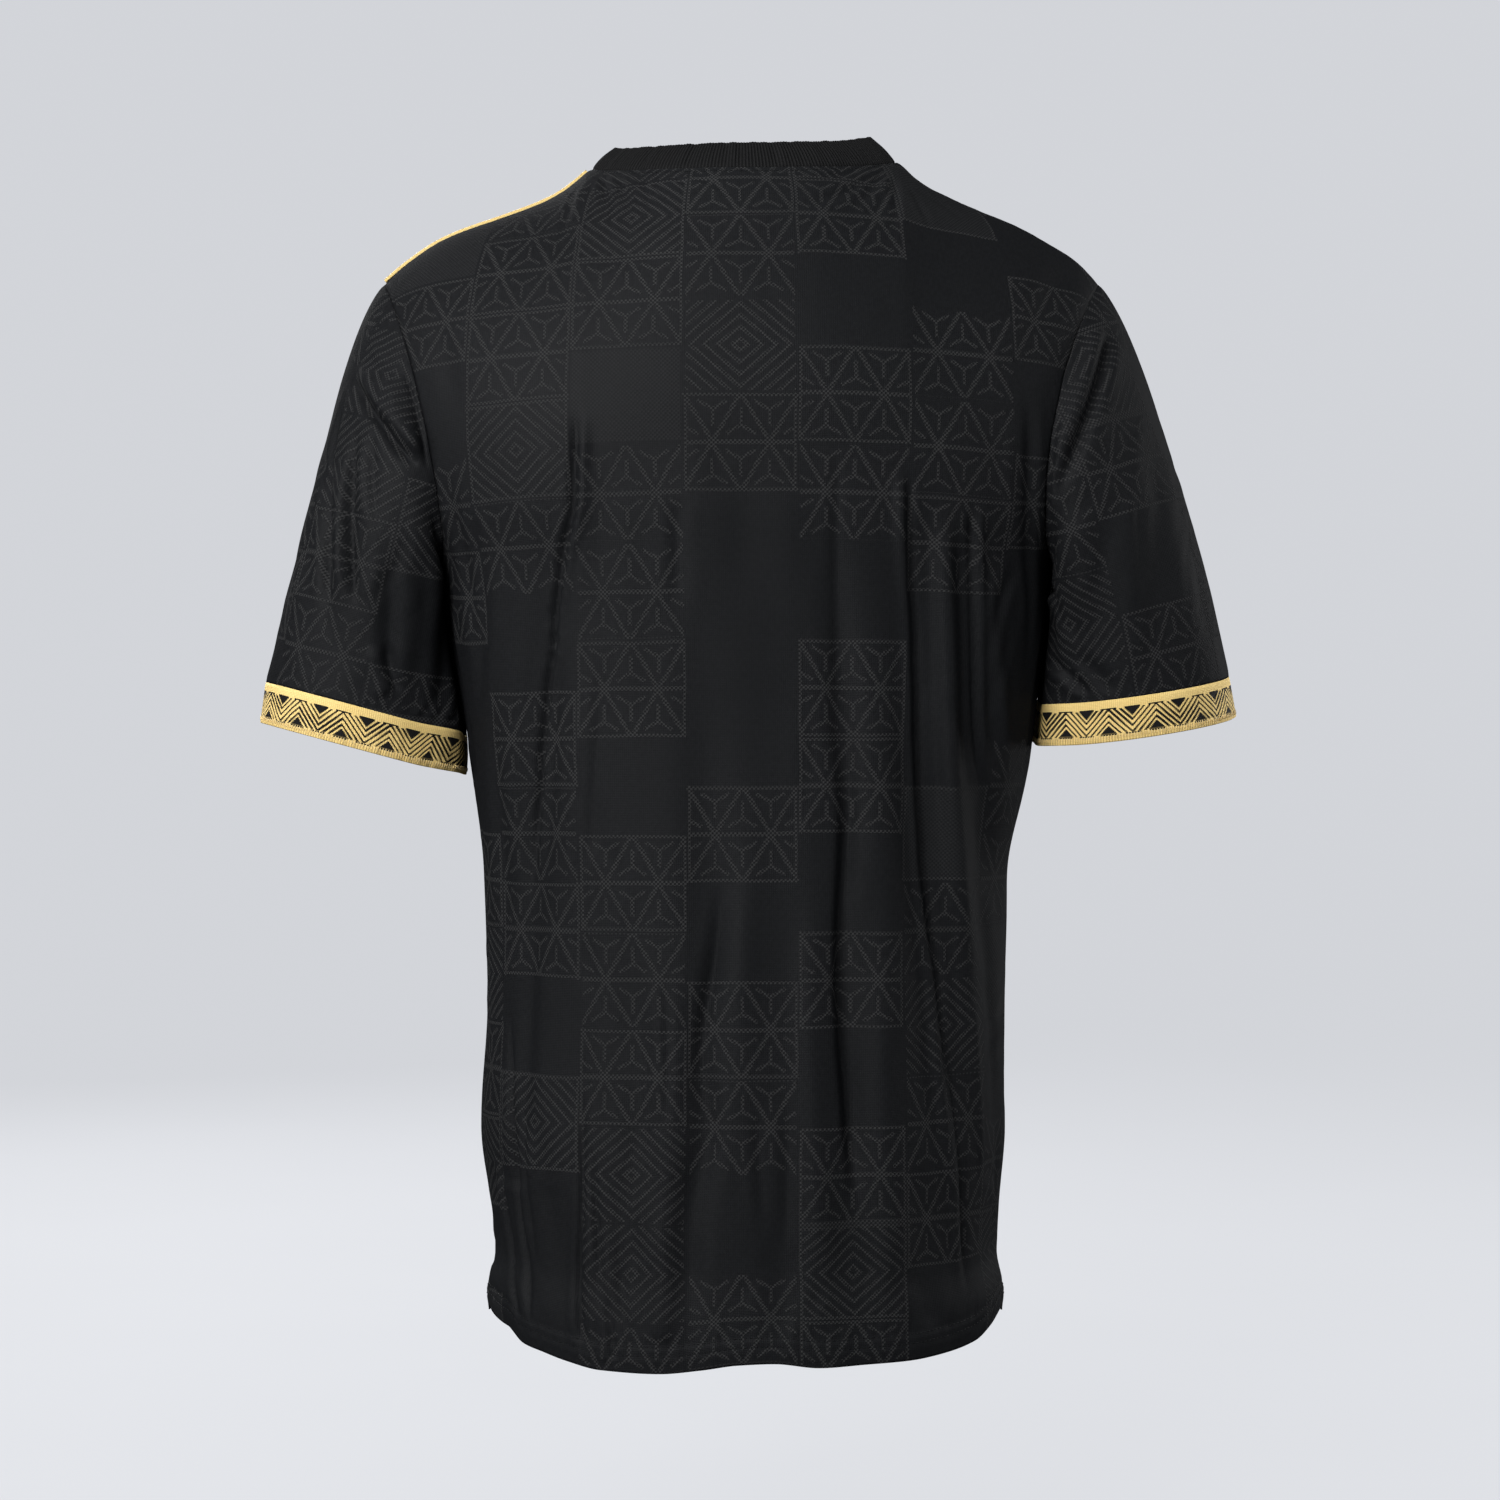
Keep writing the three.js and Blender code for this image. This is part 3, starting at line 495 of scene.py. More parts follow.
def refine(v, at, full, axis):
    """v is known at the places `at` of `full`: a smooth curve through them, at all of `full`."""
    v = np.moveaxis(v, axis, 0)
    m = np.gradient(v, at, axis=0)
    k = np.clip(np.searchsorted(at, full, side="right") - 1, 0, len(at) - 2)
    h = (at[k + 1] - at[k]).reshape((-1,) + (1,) * (v.ndim - 1))
    x = (full - at[k]).reshape(h.shape) / h
    out = (
        (2 * x**3 - 3 * x**2 + 1) * v[k]
        + (x**3 - 2 * x**2 + x) * h * m[k]
        + (-2 * x**3 + 3 * x**2) * v[k + 1]
        + (x**3 - x**2) * h * m[k + 1]
    )
    return np.moveaxis(out, 0, axis)


def cut_map(p, guess, rows, cols, rows_at, cols_at):
    """The flat cloth of a piece, upright along its middle column. rows and cols are the grid lines that are solved for."""
    rough = lay_flat(p[np.ix_(rows, cols)], guess[np.ix_(rows, cols)])
    more = rough - guess[np.ix_(rows, cols)]
    more = refine(refine(more, rows_at[rows], rows_at, 0), cols_at[cols], cols_at, 1)
    flat = guess + more
    middle = p.shape[1] // 2
    d = flat[-1, middle] - flat[0, middle]
    if p.shape[0] > 8:
        line = flat[:, middle] - flat[:, middle].mean(0)
        d = np.linalg.svd(line)[2][0] * np.sign(np.linalg.svd(line)[2][0] @ d)
    turn = np.array([[d[1], -d[0]], [d[0], d[1]]]) / np.hypot(*d)
    flat = (flat - flat[0, middle]) @ turn.T
    if flat[-1, middle, 1] < 0:
        flat = -flat
    return flat


# ------------------------------------------------------------------ creases placed one by one
class Piece:
    """A piece's outer skin as a grid, with the normals of its undisturbed form."""

    def __init__(self, p, wrap, outward):
        self.p = p
        self.wrap = wrap
        self.base = p.copy()
        n = surface_normals(p, wrap)
        if (n * (p - np.array(outward))).sum() < 0:
            n = -n
            self.turned = True
        else:
            self.turned = False
        self.n = n
        self.shape = p.shape[:2]
        self.lift = np.zeros(self.shape)
        self.quiet = np.ones(self.shape)

    def find(self, points, how):
        """The grid's points nearest to places in the picture ("px"), or to x, z ("front", "back") or y, z."""
        if how == "px":
            flat = seen_at(self.base)
            ok = self.n[..., 1] > 0.05
        elif how in ("front", "back"):
            flat = self.base[..., [0, 2]]
            ok = self.n[..., 1] * (1 if how == "back" else -1) > 0.05
        else:
            flat = self.base[..., [1, 2]]
            ok = self.n[..., 0] * (1 if how == "left" else -1) > 0.05
        flat, at = flat[ok], self.base[ok]
        found = []
        for q in points:
            d = ((flat - np.array(q, float)) ** 2).sum(-1)
            near = np.argsort(d)[:4]
            w = 1 / (d[near] + 0.3)
            found.append((at[near] * w[:, None]).sum(0) / w.sum())
        return np.array(found)

    def path(self, points, how, step=3.0):
        """A smooth line through those places, in space."""
        k = self.find(points, how)
        if len(k) == 2:
            k = np.array([k[0], (k[0] + k[1]) / 2, k[1]])
        s = np.r_[0, np.cumsum(np.linalg.norm(np.diff(k, axis=0), axis=1))]
        m = max(6, int(s[-1] / step))
        t = np.linspace(0, s[-1], m)
        return np.stack([catmull(s, k[:, c], t) for c in range(3)], -1), t / s[-1]

    def crease(self, points, width, depth, kind="valley", how="px", lip=0.35, start=0.25, end=0.25, skew=0.0, power=1.0, wave=0.0):
        """kind valley goes in, ridge comes out, tuck is a ridge that drops steeply on its -a side,
        slit is a narrow sharp valley with the cloth on its +a side standing proud (a > 0 is the viewer's left going down)."""
        line, share = self.path(points, how)
        tangent = unit(np.gradient(line, axis=0))
        reach = 3.6 * width * (1.6 if kind in ("tuck", "slit") else 1)
        low, high = line.min(0) - reach, line.max(0) + reach
        ok = ((self.base > low) & (self.base < high)).all(-1)
        ok &= (self.n * self.n[tuple(np.array(np.unravel_index(np.argmin(((self.base - line[len(line) // 2]) ** 2).sum(-1)), self.shape)))]).sum(-1) > -0.2
        if not ok.any():
            return
        p, n = self.base[ok], self.n[ok]
        best = np.full(len(p), 1e18)
        which = np.zeros(len(p), int)
        for k, q in enumerate(line):
            d = ((p - q) ** 2).sum(-1)
            nearer = d < best
            best[nearer] = d[nearer]
            which[nearer] = k
        delta = p - line[which]
        t = tangent[which]
        over = (delta * t).sum(-1)
        a = (delta * unit(np.cross(t, n))).sum(-1)
        total = np.linalg.norm(np.diff(line, axis=0), axis=1).sum()
        s = share[which] + over / total
        if wave:
            a = a + wave * np.sin(s * total / 9.0) * np.sin(s * total / 23.0 + 1.3)
        ends = smooth(s / max(start, 1e-3)) * smooth((1 - s) / max(end, 1e-3))
        ends = ends**power
        b = a / width
        if kind == "valley":
            g = -np.exp(-b * b) + lip * (
                (1 + skew) * np.exp(-((b - 1.8) ** 2)) + (1 - skew) * np.exp(-((b + 1.8) ** 2))
            )
        elif kind == "ridge":
            g = np.exp(-b * b) - 0.25 * lip * (
                np.exp(-((b - 1.8) ** 2)) + np.exp(-((b + 1.8) ** 2))
            )
        elif kind == "slit":
            g = -np.exp(-np.abs(b) ** 1.4) + lip * 2.0 * np.exp(-(((b - 2.3) / 1.6) ** 2)) + 0.3 * lip * np.exp(-(((b + 2.4) / 1.6) ** 2))
        else:  # tuck
            g = np.where(b > 0, np.exp(-((b / 2.4) ** 2)), np.exp(-((b / 0.75) ** 2)))
            g = g - 0.8 * np.exp(-(((b + 1.25) / 0.75) ** 2)) - 0.2 * np.exp(-(((b + 2.4) / 1.6) ** 2))
        far = np.exp(-np.maximum(0, np.sqrt(best) - reach) / width)
        self.lift[ok] += depth * ends * g * far

    def scatter(self, seed, count, area, how, length, width, depth, tilt=(90, 12), kind="valley"):
        """Small soft creases inside a box of the picture or of x, z. tilt is their direction and its spread, in degrees."""
        rng = np.random.default_rng(seed)
        x0, y0, x1, y1 = area
        for _ in range(count):
            x, y = rng.uniform(x0, x1), rng.uniform(y0, y1)
            a = math.radians(rng.normal(*tilt))
            l = rng.uniform(*length)
            bend = rng.normal(0, 0.12) * l
            dx, dy = math.cos(a) * l / 2, math.sin(a) * l / 2
            pts = [(x - dx, y - dy), (x - dy / l * bend * 2, y + dx / l * bend * 2), (x + dx, y + dy)]
            self.crease(
                pts,
                rng.uniform(*width),
                rng.uniform(*depth),
                kind=kind,
                how=how,
                lip=rng.uniform(0.3, 0.7),
                start=0.45,
                end=0.45,
                skew=rng.uniform(-0.6, 0.6),
            )

    def apply(self):
        self.p = self.base + self.n * (self.lift * self.quiet)[..., None]


def catmull(s, v, t):
    m = np.gradient(v, s)
    k = np.clip(np.searchsorted(s, t, side="right") - 1, 0, len(s) - 2)
    h = s[k + 1] - s[k]
    x = (t - s[k]) / h
    return (
        (2 * x**3 - 3 * x**2 + 1) * v[k]
        + (x**3 - 2 * x**2 + x) * h * m[k]
        + (-2 * x**3 + 3 * x**2) * v[k + 1]
        + (x**3 - x**2) * h * m[k + 1]
    )


# ------------------------------------------------------------------ grids
# Columns and rows of the fine grids, in the CAD grid's own counts. Each count of steps is even.
II = np.linspace(0, COLS, 293)
JJ = np.r_[
    np.linspace(0, 0.62, 15)[:-1],
    np.linspace(0.62, LOWER, 115)[:-1],
    np.linspace(LOWER, ROWS, 101),
]
N_LOW = 14 + 114  # the row at the underarm
N_TOP = len(JJ) - 1
back = Piece(panel_grid("back", II, JJ), False, (0, 0, -380))
front = Piece(panel_grid("front", II, JJ), False, (0, 0, -380))
panels = {"back": back, "front": front}


def arm_ring(name):
    """From the underarm up the front to the shoulder tip (the middle) and down the back."""
    i = 0 if name == "left" else -1
    up = [(front, j, i) for j in range(N_LOW, N_TOP + 1)]
    down = [(back, j, i) for j in range(N_TOP - 1, N_LOW, -1)]
    return up + down


def ring_angles(points):
    half = N_TOP - N_LOW
    marks = np.r_[0, np.cumsum(np.linalg.norm(np.diff(points[: half + 1], axis=0), axis=1))]
    angles = np.zeros(2 * half)
    angles[: half + 1] = -(1 - marks / marks[-1]) * np.pi
    rest = np.concatenate([points[half:], points[:1]])
    marks = np.r_[0, np.cumsum(np.linalg.norm(np.diff(rest, axis=0), axis=1))]
    angles[half:] = (marks / marks[-1])[:-1] * np.pi
    return angles


def sleeve_end(name, angle, below, grow):
    s = SLEEVES[name]
    sign = 1 if name == "left" else -1
    across = np.array([sign * s["width"], 0, s["rise"]])
    n = np.linalg.norm(across)
    depth = np.array([0, s["depth"], -s["dip"]])
    down = unit(np.array([sign * s["lean"], -s["dip"] / s["depth"], -1.0]))
    c, si = np.cos(angle)[..., None], np.sin(angle)[..., None]
    return (
        np.array([s["x"], s["y"], s["z"]])
        + across / n * (n + grow) * c
        + depth * (1 + grow / s["depth"]) * si
        + down * below
    )


def sleeve_grid(name, tt):
    s = SLEEVES[name]
    sign = 1 if name == "left" else -1
    ring = np.array([piece.base[j, i] for piece, j, i in arm_ring(name)])
    a = ring_angles(ring)
    end = sleeve_end(name, a, 0, 0)
    length = np.linalg.norm(ring - end, axis=-1)[:, None]
    under = ((1 - np.cos(a)) / 2)[:, None]
    beside = np.abs(np.sin(a))[:, None]
    one = np.ones_like(under)
    leave = unit(
        np.concatenate([sign * 0.7 * one, 0.28 * np.sin(a)[:, None], -0.7 - 0.1 * under - 0.1 * beside], 1)
    ) * (length * (0.42 + 0.2 * beside + 0.1 * under))
    arrive = unit(
        np.concatenate(
            [sign * (s["arrive"] * (1 - under) - 0.1 * under), -s["dip"] / s["depth"] * one, -one], 1
        )
    ) * (length * 0.8)
    rows = []
    for t in tt:
        w = t**1.1
        rows.append(
            (2 * w**3 - 3 * w**2 + 1) * ring
            + (w**3 - 2 * w**2 + w) * leave
            + (-2 * w**3 + 3 * w**2) * end
            + (w**3 - w**2) * arrive
        )
    return np.array(rows), a


def press(name, p, a, down):
    """Cloth under the arm lies against the body's side, just clear of it. down is 0 at the armhole."""
    sign = 1 if name == "left" else -1
    x, y, z = p[..., 0], p[..., 1], p[..., 2]
    side = np.full_like(z, sign)
    deep = np.where(y > 0, depth_at("back", z), depth_at("front", z))
    body = half_width(side, z) * oval(y / deep)
    gap = sign * x - body - 2.2
    w = smooth((-np.cos(a) - 0.35) / 0.45) * smooth((down - 0.06) / 0.34)
    move = w * gap * np.exp(-((gap / 17) ** 2))
    q = p.copy()
    q[..., 0] -= sign * np.where(gap > 0, move, 0)
    return q


TT = np.linspace(0, 1, 121)
sleeves, angles = {}, {}
for name, inside in (("left", (225, 0, -230)), ("right", (-225, 0, -230))):
    grid, angles[name] = sleeve_grid(name, TT)
    grid = press(name, grid, angles[name][None, :], TT[:, None])
    sleeves[name] = Piece(grid, True, inside)

# ------------------------------------------------------------------ folds of the back, by the picture
b = back
# the long sharp crease on the left, cloth on its right standing proud
F1 = [(577, 405), (574, 455), (573, 500), (566, 540), (560, 580), (552, 660), (546, 720), (540, 790), (536, 850), (532, 905)]
b.crease(F1[::-1], 2.3, 3.9, "slit", start=0.22, end=0.08, lip=0.36, wave=0.8)
b.crease([(590, 430), (587, 500), (578, 580), (570, 660), (562, 740), (558, 830)], 6, 1.3, "ridge", start=0.2, end=0.4)
b.crease([(540, 900), (531, 990), (524, 1100), (512, 1200), (508, 1290)], 7, 1.6, "valley", start=0.3, end=0.3)
for k, (x, y) in enumerate([(575, 496), (572, 515), (569, 532), (566, 548), (563, 565), (560, 583), (558, 601), (555, 620), (553, 641), (551, 660)]):
    s = 1 if k % 2 else -1
    b.crease([(x - 13, y - 6 * s), (x + 2, y), (x + 14, y + 5)], 2.3, 0.8 + 0.2 * (k % 3), "valley", lip=0.7, start=0.5, end=0.4)
# the next ones to the right: centre trough, then two strong troughs and the side
F2 = [(838, 437), (836, 500), (838, 620), (843, 720), (847, 830), (842, 900), (840, 960), (843, 1030), (850, 1120), (860, 1240)]
b.crease(F2, 6.5, 2.0, "valley", start=0.3, end=0.2, lip=0.4, skew=0.4)
b.crease(F2[3:], 3.0, 2.7, "slit", start=0.25, end=0.25, lip=0.3, wave=0.5)
b.crease(F2[:4], 2.4, 1.1, "slit", start=0.3, end=0.3, lip=0.3)
b.crease([(810, 860), (808, 960), (812, 1080), (818, 1200), (826, 1330)], 8, 1.9, "ridge", start=0.35, end=0.25)
b.crease([(878, 960), (882, 1080), (886, 1200), (892, 1330)], 8, 1.7, "ridge", start=0.3, end=0.25)
F3 = [(908, 470), (910, 533), (913, 600), (916, 700), (919, 800), (928, 900), (940, 1000), (948, 1100), (955, 1210)]
b.crease(F3, 2.5, 3.4, "slit", start=0.03, end=0.3, lip=0.36, wave=0.4)
b.crease([(x + 15, y) for x, y in F3], 8.5, 2.6, "valley", start=0.1, end=0.25, lip=0.35)
b.crease([(943, 500), (946, 650), (951, 780), (962, 880), (976, 1010)], 6, 2.4, "ridge", start=0.12, end=0.4)
b.crease([(961, 520), (962, 620), (964, 730), (970, 830)], 5.5, 2.2, "valley", start=0.15, end=0.35, lip=0.2)
F4 = [(971, 508), (972, 580), (973, 650), (975, 730), (981, 815)]
b.crease(F4[::-1], 2.2, 2.8, "slit", start=0.35, end=0.06, lip=0.42)
b.crease([(985, 560), (1000, 680), (1008, 790)], 6, 1.8, "ridge", start=0.3, end=0.4)
b.crease([(970, 850), (985, 960), (992, 1080), (990, 1190)], 7, 1.6, "valley", start=0.4, end=0.4)
b.crease([(675, 495), (677, 560), (681, 625)], 6, 1.3, "valley", start=0.2, end=0.4)
b.crease([(676, 500), (679, 600)], 2.6, 0.8, "slit", start=0.3, end=0.5)
b.crease([(724, 860), (715, 950), (702, 1050), (704, 1130)], 2.8, 1.8, "slit", start=0.4, end=0.4)
b.crease([(664, 960), (668, 1060), (664, 1150)], 2.8, 1.3, "slit", start=0.4, end=0.4)
b.crease([(510, 1000), (512, 1100), (518, 1200), (528, 1300), (533, 1338)], 2.2, 3.0, "slit", start=0.25, end=0.12, lip=0.12)
b.crease([(497, 1130), (504, 1200), (513, 1280), (520, 1330)], 2.1, 2.6, "slit", start=0.25, end=0.12, lip=0.12)
b.crease([(523, 1090), (527, 1180), (536, 1270)], 2.1, 1.6, "slit", start=0.3, end=0.3, lip=0.12)
b.crease([(581, 1080), (583, 1190), (580, 1280), (583, 1350)], 2.2, 3.0, "slit", start=0.3, end=0.12, lip=0.15)
b.crease([(593, 1140), (598, 1230), (601, 1295)], 2.2, 2.4, "slit", start=0.35, end=0.3, lip=0.15)
b.crease([(605, 1290), (611, 1325), (615, 1358)], 2.4, 2.0, "slit", start=0.3, end=0.1, lip=0.2)
b.crease([(617, 1220), (622, 1300), (630, 1360)], 2.6, 1.1, "slit", start=0.4, end=0.1)
b.crease([(945, 1010), (952, 1080), (961, 1180), (970, 1300)], 2.6, 2.2, "slit", start=0.25, end=0.2, lip=0.4)
b.crease([(972, 985), (978, 1080), (981, 1190)], 3.2, 1.4, "ridge", start=0.3, end=0.3)
b.crease([(757, 1100), (760, 1180), (765, 1240)], 2.6, 1.1, "slit", start=0.4, end=0.4)
b.crease([(784, 1090), (787, 1170), (785, 1260)], 2.8, 1.1, "slit", start=0.4, end=0.4)
b.crease([(475, 700), (470, 790), (478, 880)], 2.4, 1.2, "slit", start=0.3, end=0.4)
b.crease([(604, 640), (596, 760), (590, 880)], 3.0, 0.9, "slit", start=0.4, end=0.4)
b.crease([(725, 840), (716, 950), (700, 1050), (705, 1130), (690, 1220), (690, 1335)], 7.5, 2.2, "valley", start=0.3, end=0.15, skew=-0.3)
b.crease([(747, 790), (745, 900), (742, 1020), (748, 1160)], 10, 1.6, "ridge", start=0.4, end=0.4)
b.crease([(664, 1190), (666, 1260), (664, 1345)], 8, 1.6, "ridge", start=0.4, end=0.1)
b.crease([(640, 860), (632, 980), (640, 1100), (628, 1230), (622, 1350)], 9, 1.6, "valley", start=0.4, end=0.2)
b.crease([(600, 960), (596, 1080), (590, 1220), (588, 1340)], 9, 1.4, "ridge", start=0.35, end=0.25)
b.crease([(500, 700), (497, 800), (505, 900), (500, 980)], 7, 2.0, "valley", start=0.35, end=0.35)
b.crease([(484, 560), (482, 640), (478, 730)], 5.5, 1.5, "valley", start=0.3, end=0.4)
b.crease([(520, 1050), (545, 1180), (560, 1300)], 8, 1.0, "valley", start=0.4, end=0.3)
b.crease([(775, 1120), (782, 1220), (780, 1345)], 9, 1.4, "valley", start=0.45, end=0.1)
b.crease([(915, 1130), (925, 1240), (930, 1335)], 9, 1.5, "valley", start=0.4, end=0.1)
b.crease([(735, 420), (742, 520), (745, 640)], 12, 0.9, "valley", start=0.4, end=0.5)
b.crease([(790, 430), (795, 560), (792, 700)], 11, 0.8, "ridge", start=0.4, end=0.5)
b.crease([(625, 450), (622, 560), (628, 700), (640, 830)], 10, 1.1, "ridge", start=0.4, end=0.5)
# beside the armholes
b.crease([(1026, 380), (1030, 440), (1028, 520), (1030, 600), (1026, 690)], 4.6, 2.0, "valley", start=0.25, end=0.35)
b.crease([(1010, 400), (1008, 470), (1012, 560)], 5, 1.1, "ridge", start=0.4, end=0.4)
b.crease([(448, 470), (461, 540), (472, 610), (478, 680)], 5, 1.6, "valley", start=0.3, end=0.4)
b.crease([(470, 470), (487, 540), (497, 620)], 6, 1.0, "ridge", start=0.4, end=0.4)
b.crease([(1018, 560), (1000, 600), (990, 660)], 4, 1.2, "valley", start=0.3, end=0.5)
# puckers that run out from under the neckband
for (x0, y0), (x1, y1), w, d in [
    ((884, 172), (845, 215), 3.4, 0.55),
    ((880, 176), (820, 198), 3.0, 0.5),
    ((893, 176), (893, 236), 3.2, 0.5),
    ((903, 182), (935, 240), 3.6, 0.55),
    ((912, 186), (975, 228), 3.2, 0.5),
    ((862, 170), (795, 182), 2.8, 0.45),
    ((922, 192), (1005, 214), 3.4, 0.45),
    ((870, 186), (772, 212), 3.2, 0.45),
    ((603, 176), (606, 232), 3.0, 0.45),
    ((590, 182), (574, 246), 3.4, 0.5),
    ((575, 190), (548, 250), 3.2, 0.45),
    ((618, 176), (632, 238), 3.0, 0.4),
    ((640, 174), (652, 230), 2.8, 0.35),
    ((670, 176), (690, 190), 2.4, 0.35),
    ((700, 178), (730, 194), 2.4, 0.35),
]:
    b.crease([(x0, y0), ((x0 + x1) / 2 + 3, (y0 + y1) / 2), (x1, y1)], w * 0.9, d * 2.1, "valley", lip=0.5, start=0.15, end=0.6)
b.crease([(500, 235), (600, 250), (700, 262)], 9, 0.5, "valley", start=0.4, end=0.4)
b.crease([(820, 238), (930, 252), (1040, 300)], 10, 0.6, "valley", start=0.4, end=0.4)
b.crease([(1070, 262), (1035, 330), (1012, 400)], 8, 1.1, "valley", start=0.3, end=0.4)
b.crease([(425, 300), (447, 360), (460, 430)], 7, 0.9, "valley", start=0.35, end=0.4)
b.scatter(11, 34, (560, 430, 960, 1300), "px", (70, 190), (5, 10), (0.15, 0.5), (90, 7))
b.scatter(12, 30, (470, 480, 600, 1300), "px", (40, 120), (3, 6), (0.15, 0.5), (86, 12))
b.scatter(13, 26, (900, 420, 1030, 1200), "px", (40, 120), (3, 6), (0.15, 0.5), (94, 12))
b.scatter(14, 22, (560, 180, 960, 330), "px", (30, 80), (3, 6), (0.1, 0.28), (90, 50))
b.scatter(15, 22, (520, 1230, 990, 1350), "px", (18, 60), (3.5, 7), (0.15, 0.45), (90, 16))

# ------------------------------------------------------------------ folds of the front, like those of the back
f = front
f.crease([(-108, -160), (-104, -260), (-98, -380), (-95, -520), (-92, -640)], 6, 3.2, "valley", "front", start=0.08, end=0.25, skew=0.4)
f.crease([(-86, -200), (-80, -330), (-78, -470)], 8, 2.2, "ridge", "front", start=0.2, end=0.4)
f.crease([(110, -180), (106, -300), (100, -430), (90, -560), (84, -680)], 6, 3.4, "valley", "front", start=0.06, end=0.2, skew=-0.4)
f.crease([(86, -230), (80, -360), (72, -480)], 8, 2.2, "ridge", "front", start=0.2, end=0.4)
f.crease([(132, -215), (134, -300), (130, -400), (136, -500)], 5, 2.6, "valley", "front", start=0.1, end=0.35)
f.crease([(-134, -220), (-140, -320), (-142, -430), (-138, -520)], 5, 2.4, "valley", "front", start=0.15, end=0.4)
f.crease([(-36, -330), (-38, -470), (-42, -590), (-47, -700)], 7.5, 2.4, "valley", "front", start=0.35, end=0.1)
f.crease([(28, -360), (31, -480), (34, -600), (40, -705)], 7.5, 2.2, "valley", "front", start=0.35, end=0.1)
f.crease([(-4, -400), (-3, -520), (-6, -700)], 10, 1.8, "ridge", "front", start=0.4, end=0.15)
f.crease([(62, -420), (60, -560), (62, -706)], 9, 1.8, "ridge", "front", start=0.4, end=0.15)
f.crease([(-68, -470), (-70, -590), (-70, -706)], 8, 1.6, "ridge", "front", start=0.4, end=0.15)
f.crease([(118, -520), (112, -620), (110, -706)], 8, 1.8, "valley", "front", start=0.3, end=0.1)
f.crease([(-118, -540), (-116, -640), (-120, -706)], 8, 1.6, "valley", "front", start=0.3, end=0.1)
f.crease([(0, -112), (-2, -200), (2, -300)], 14, 1.0, "valley", "front", start=0.4, end=0.5)
# sharp ones, as at the back
f.crease([(-129, -206), (-127, -290), (-120, -380), (-110, -480), (-104, -560)], 2.4, 3.0, "slit", "front", start=0.04, end=0.35, lip=0.38, wave=0.4)
f.crease([(90, -590), (97, -470), (104, -360), (110, -260), (113, -188)], 2.4, 3.2, "slit", "front", start=0.35, end=0.04, lip=0.38, wave=0.4)
f.crease([(145, -258), (143, -340), (137, -430)], 2.2, 2.2, "slit", "front", start=0.06, end=0.4, lip=0.35)
f.crease([(-150, -264), (-147, -340), (-150, -420)], 2.2, 1.8, "slit", "front", start=0.1, end=0.4, lip=0.35)
f.crease([(-62, -300), (-60, -400), (-64, -520)], 2.6, 1.5, "slit", "front", start=0.4, end=0.4)
f.crease([(42, -660), (41, -540), (38, -430)], 2.8, 1.9, "slit", "front", start=0.3, end=0.4)
f.crease([(-21, -500), (-24, -610), (-20, -704)], 2.8, 1.8, "slit", "front", start=0.4, end=0.1)
f.crease([(-96, -590), (-101, -650), (-104, -706)], 2.4, 2.0, "slit", "front", start=0.3, end=0.1)
f.crease([(80, -706), (75, -640), (72, -560)], 2.4, 1.8, "slit", "front", start=0.1, end=0.4)
f.crease([(134, -560), (128, -640), (126, -700)], 2.4, 1.8, "slit", "front", start=0.3, end=0.15)
f.crease([(6, -560), (9, -640), (8, -706)], 2.8, 1.3, "slit", "front", start=0.4, end=0.1)
for sx in (1, -1):
    f.crease([(176 * sx, -226), (160 * sx, -258), (138 * sx, -284)], 2.6, 2.0, "slit", "front", start=0.2, end=0.45)
    f.crease([(172 * sx, -110), (158 * sx, -160), (148 * sx, -215)], 6, 2.0, "valley", "front", start=0.25, end=0.4)
    f.crease([(160 * sx, -96), (140 * sx, -150), (126 * sx, -215)], 7, 1.3, "valley", "front", start=0.3, end=0.5)
    f.crease([(172 * sx, -235), (160 * sx, -262), (140 * sx, -292)], 5, 1.8, "valley", "front", start=0.2, end=0.5)
    f.crease([(168 * sx, -252), (150 * sx, -300), (132 * sx, -350)], 5.5, 1.2, "valley", "front", start=0.2, end=0.5)
    f.crease([(86 * sx, -62), (98 * sx, -96), (104 * sx, -150)], 5, 0.8, "valley", "front", start=0.2, end=0.5)
    f.crease([(60 * sx, -82), (66 * sx, -120), (66 * sx, -170)], 4.5, 0.6, "valley", "front", start=0.2, end=0.5)
f.scatter(21, 40, (-100, -690, 100, -190), "front", (50, 130), (4, 8), (0.15, 0.5), (90, 8))
f.scatter(22, 20, (90, -680, 150, -240), "front", (30, 80), (3, 5), (0.15, 0.5), (90, 14))
f.scatter(23, 20, (-150, -680, -90, -240), "front", (30, 80), (3, 5), (0.15, 0.5), (90, 14))
f.scatter(24, 16, (-120, -160, 120, -100), "front", (20, 50), (3, 5), (0.1, 0.25), (90, 40))
f.scatter(25, 22, (-130, -712, 130, -650), "front", (12, 36), (3, 5), (0.15, 0.45), (90, 16))

# ------------------------------------------------------------------ folds of the sides, clear of the outline
f.crease([(-34, -262), (-40, -340), (-36, -440), (-43, -545)], 5.5, 2.3, "valley", "left", start=0.12, end=0.4, skew=0.3)
f.crease([(-58, -262), (-63, -340), (-58, -440)], 2.4, 1.7, "slit", "left", start=0.25, end=0.4)
f.crease([(-72, -420), (-65, -540), (-72, -660)], 7, 1.9, "valley", "left", start=0.35, end=0.2)
f.crease([(-31, -570), (-27, -640), (-32, -706)], 5.5, 1.6, "valley", "left", start=0.35, end=0.12)
f.crease([(-48, -470), (-51, -570), (-46, -670)], 7, 1.5, "ridge", "left", start=0.4, end=0.3)
f.crease([(-50, -706), (-54, -650), (-50, -590)], 2.4, 1.5, "slit", "left", start=0.12, end=0.4)
b.crease([(25, -266), (29, -350), (25, -450), (31, -560)], 5.5, 1.8, "valley", "left", start=0.12, end=0.4, skew=-0.3)
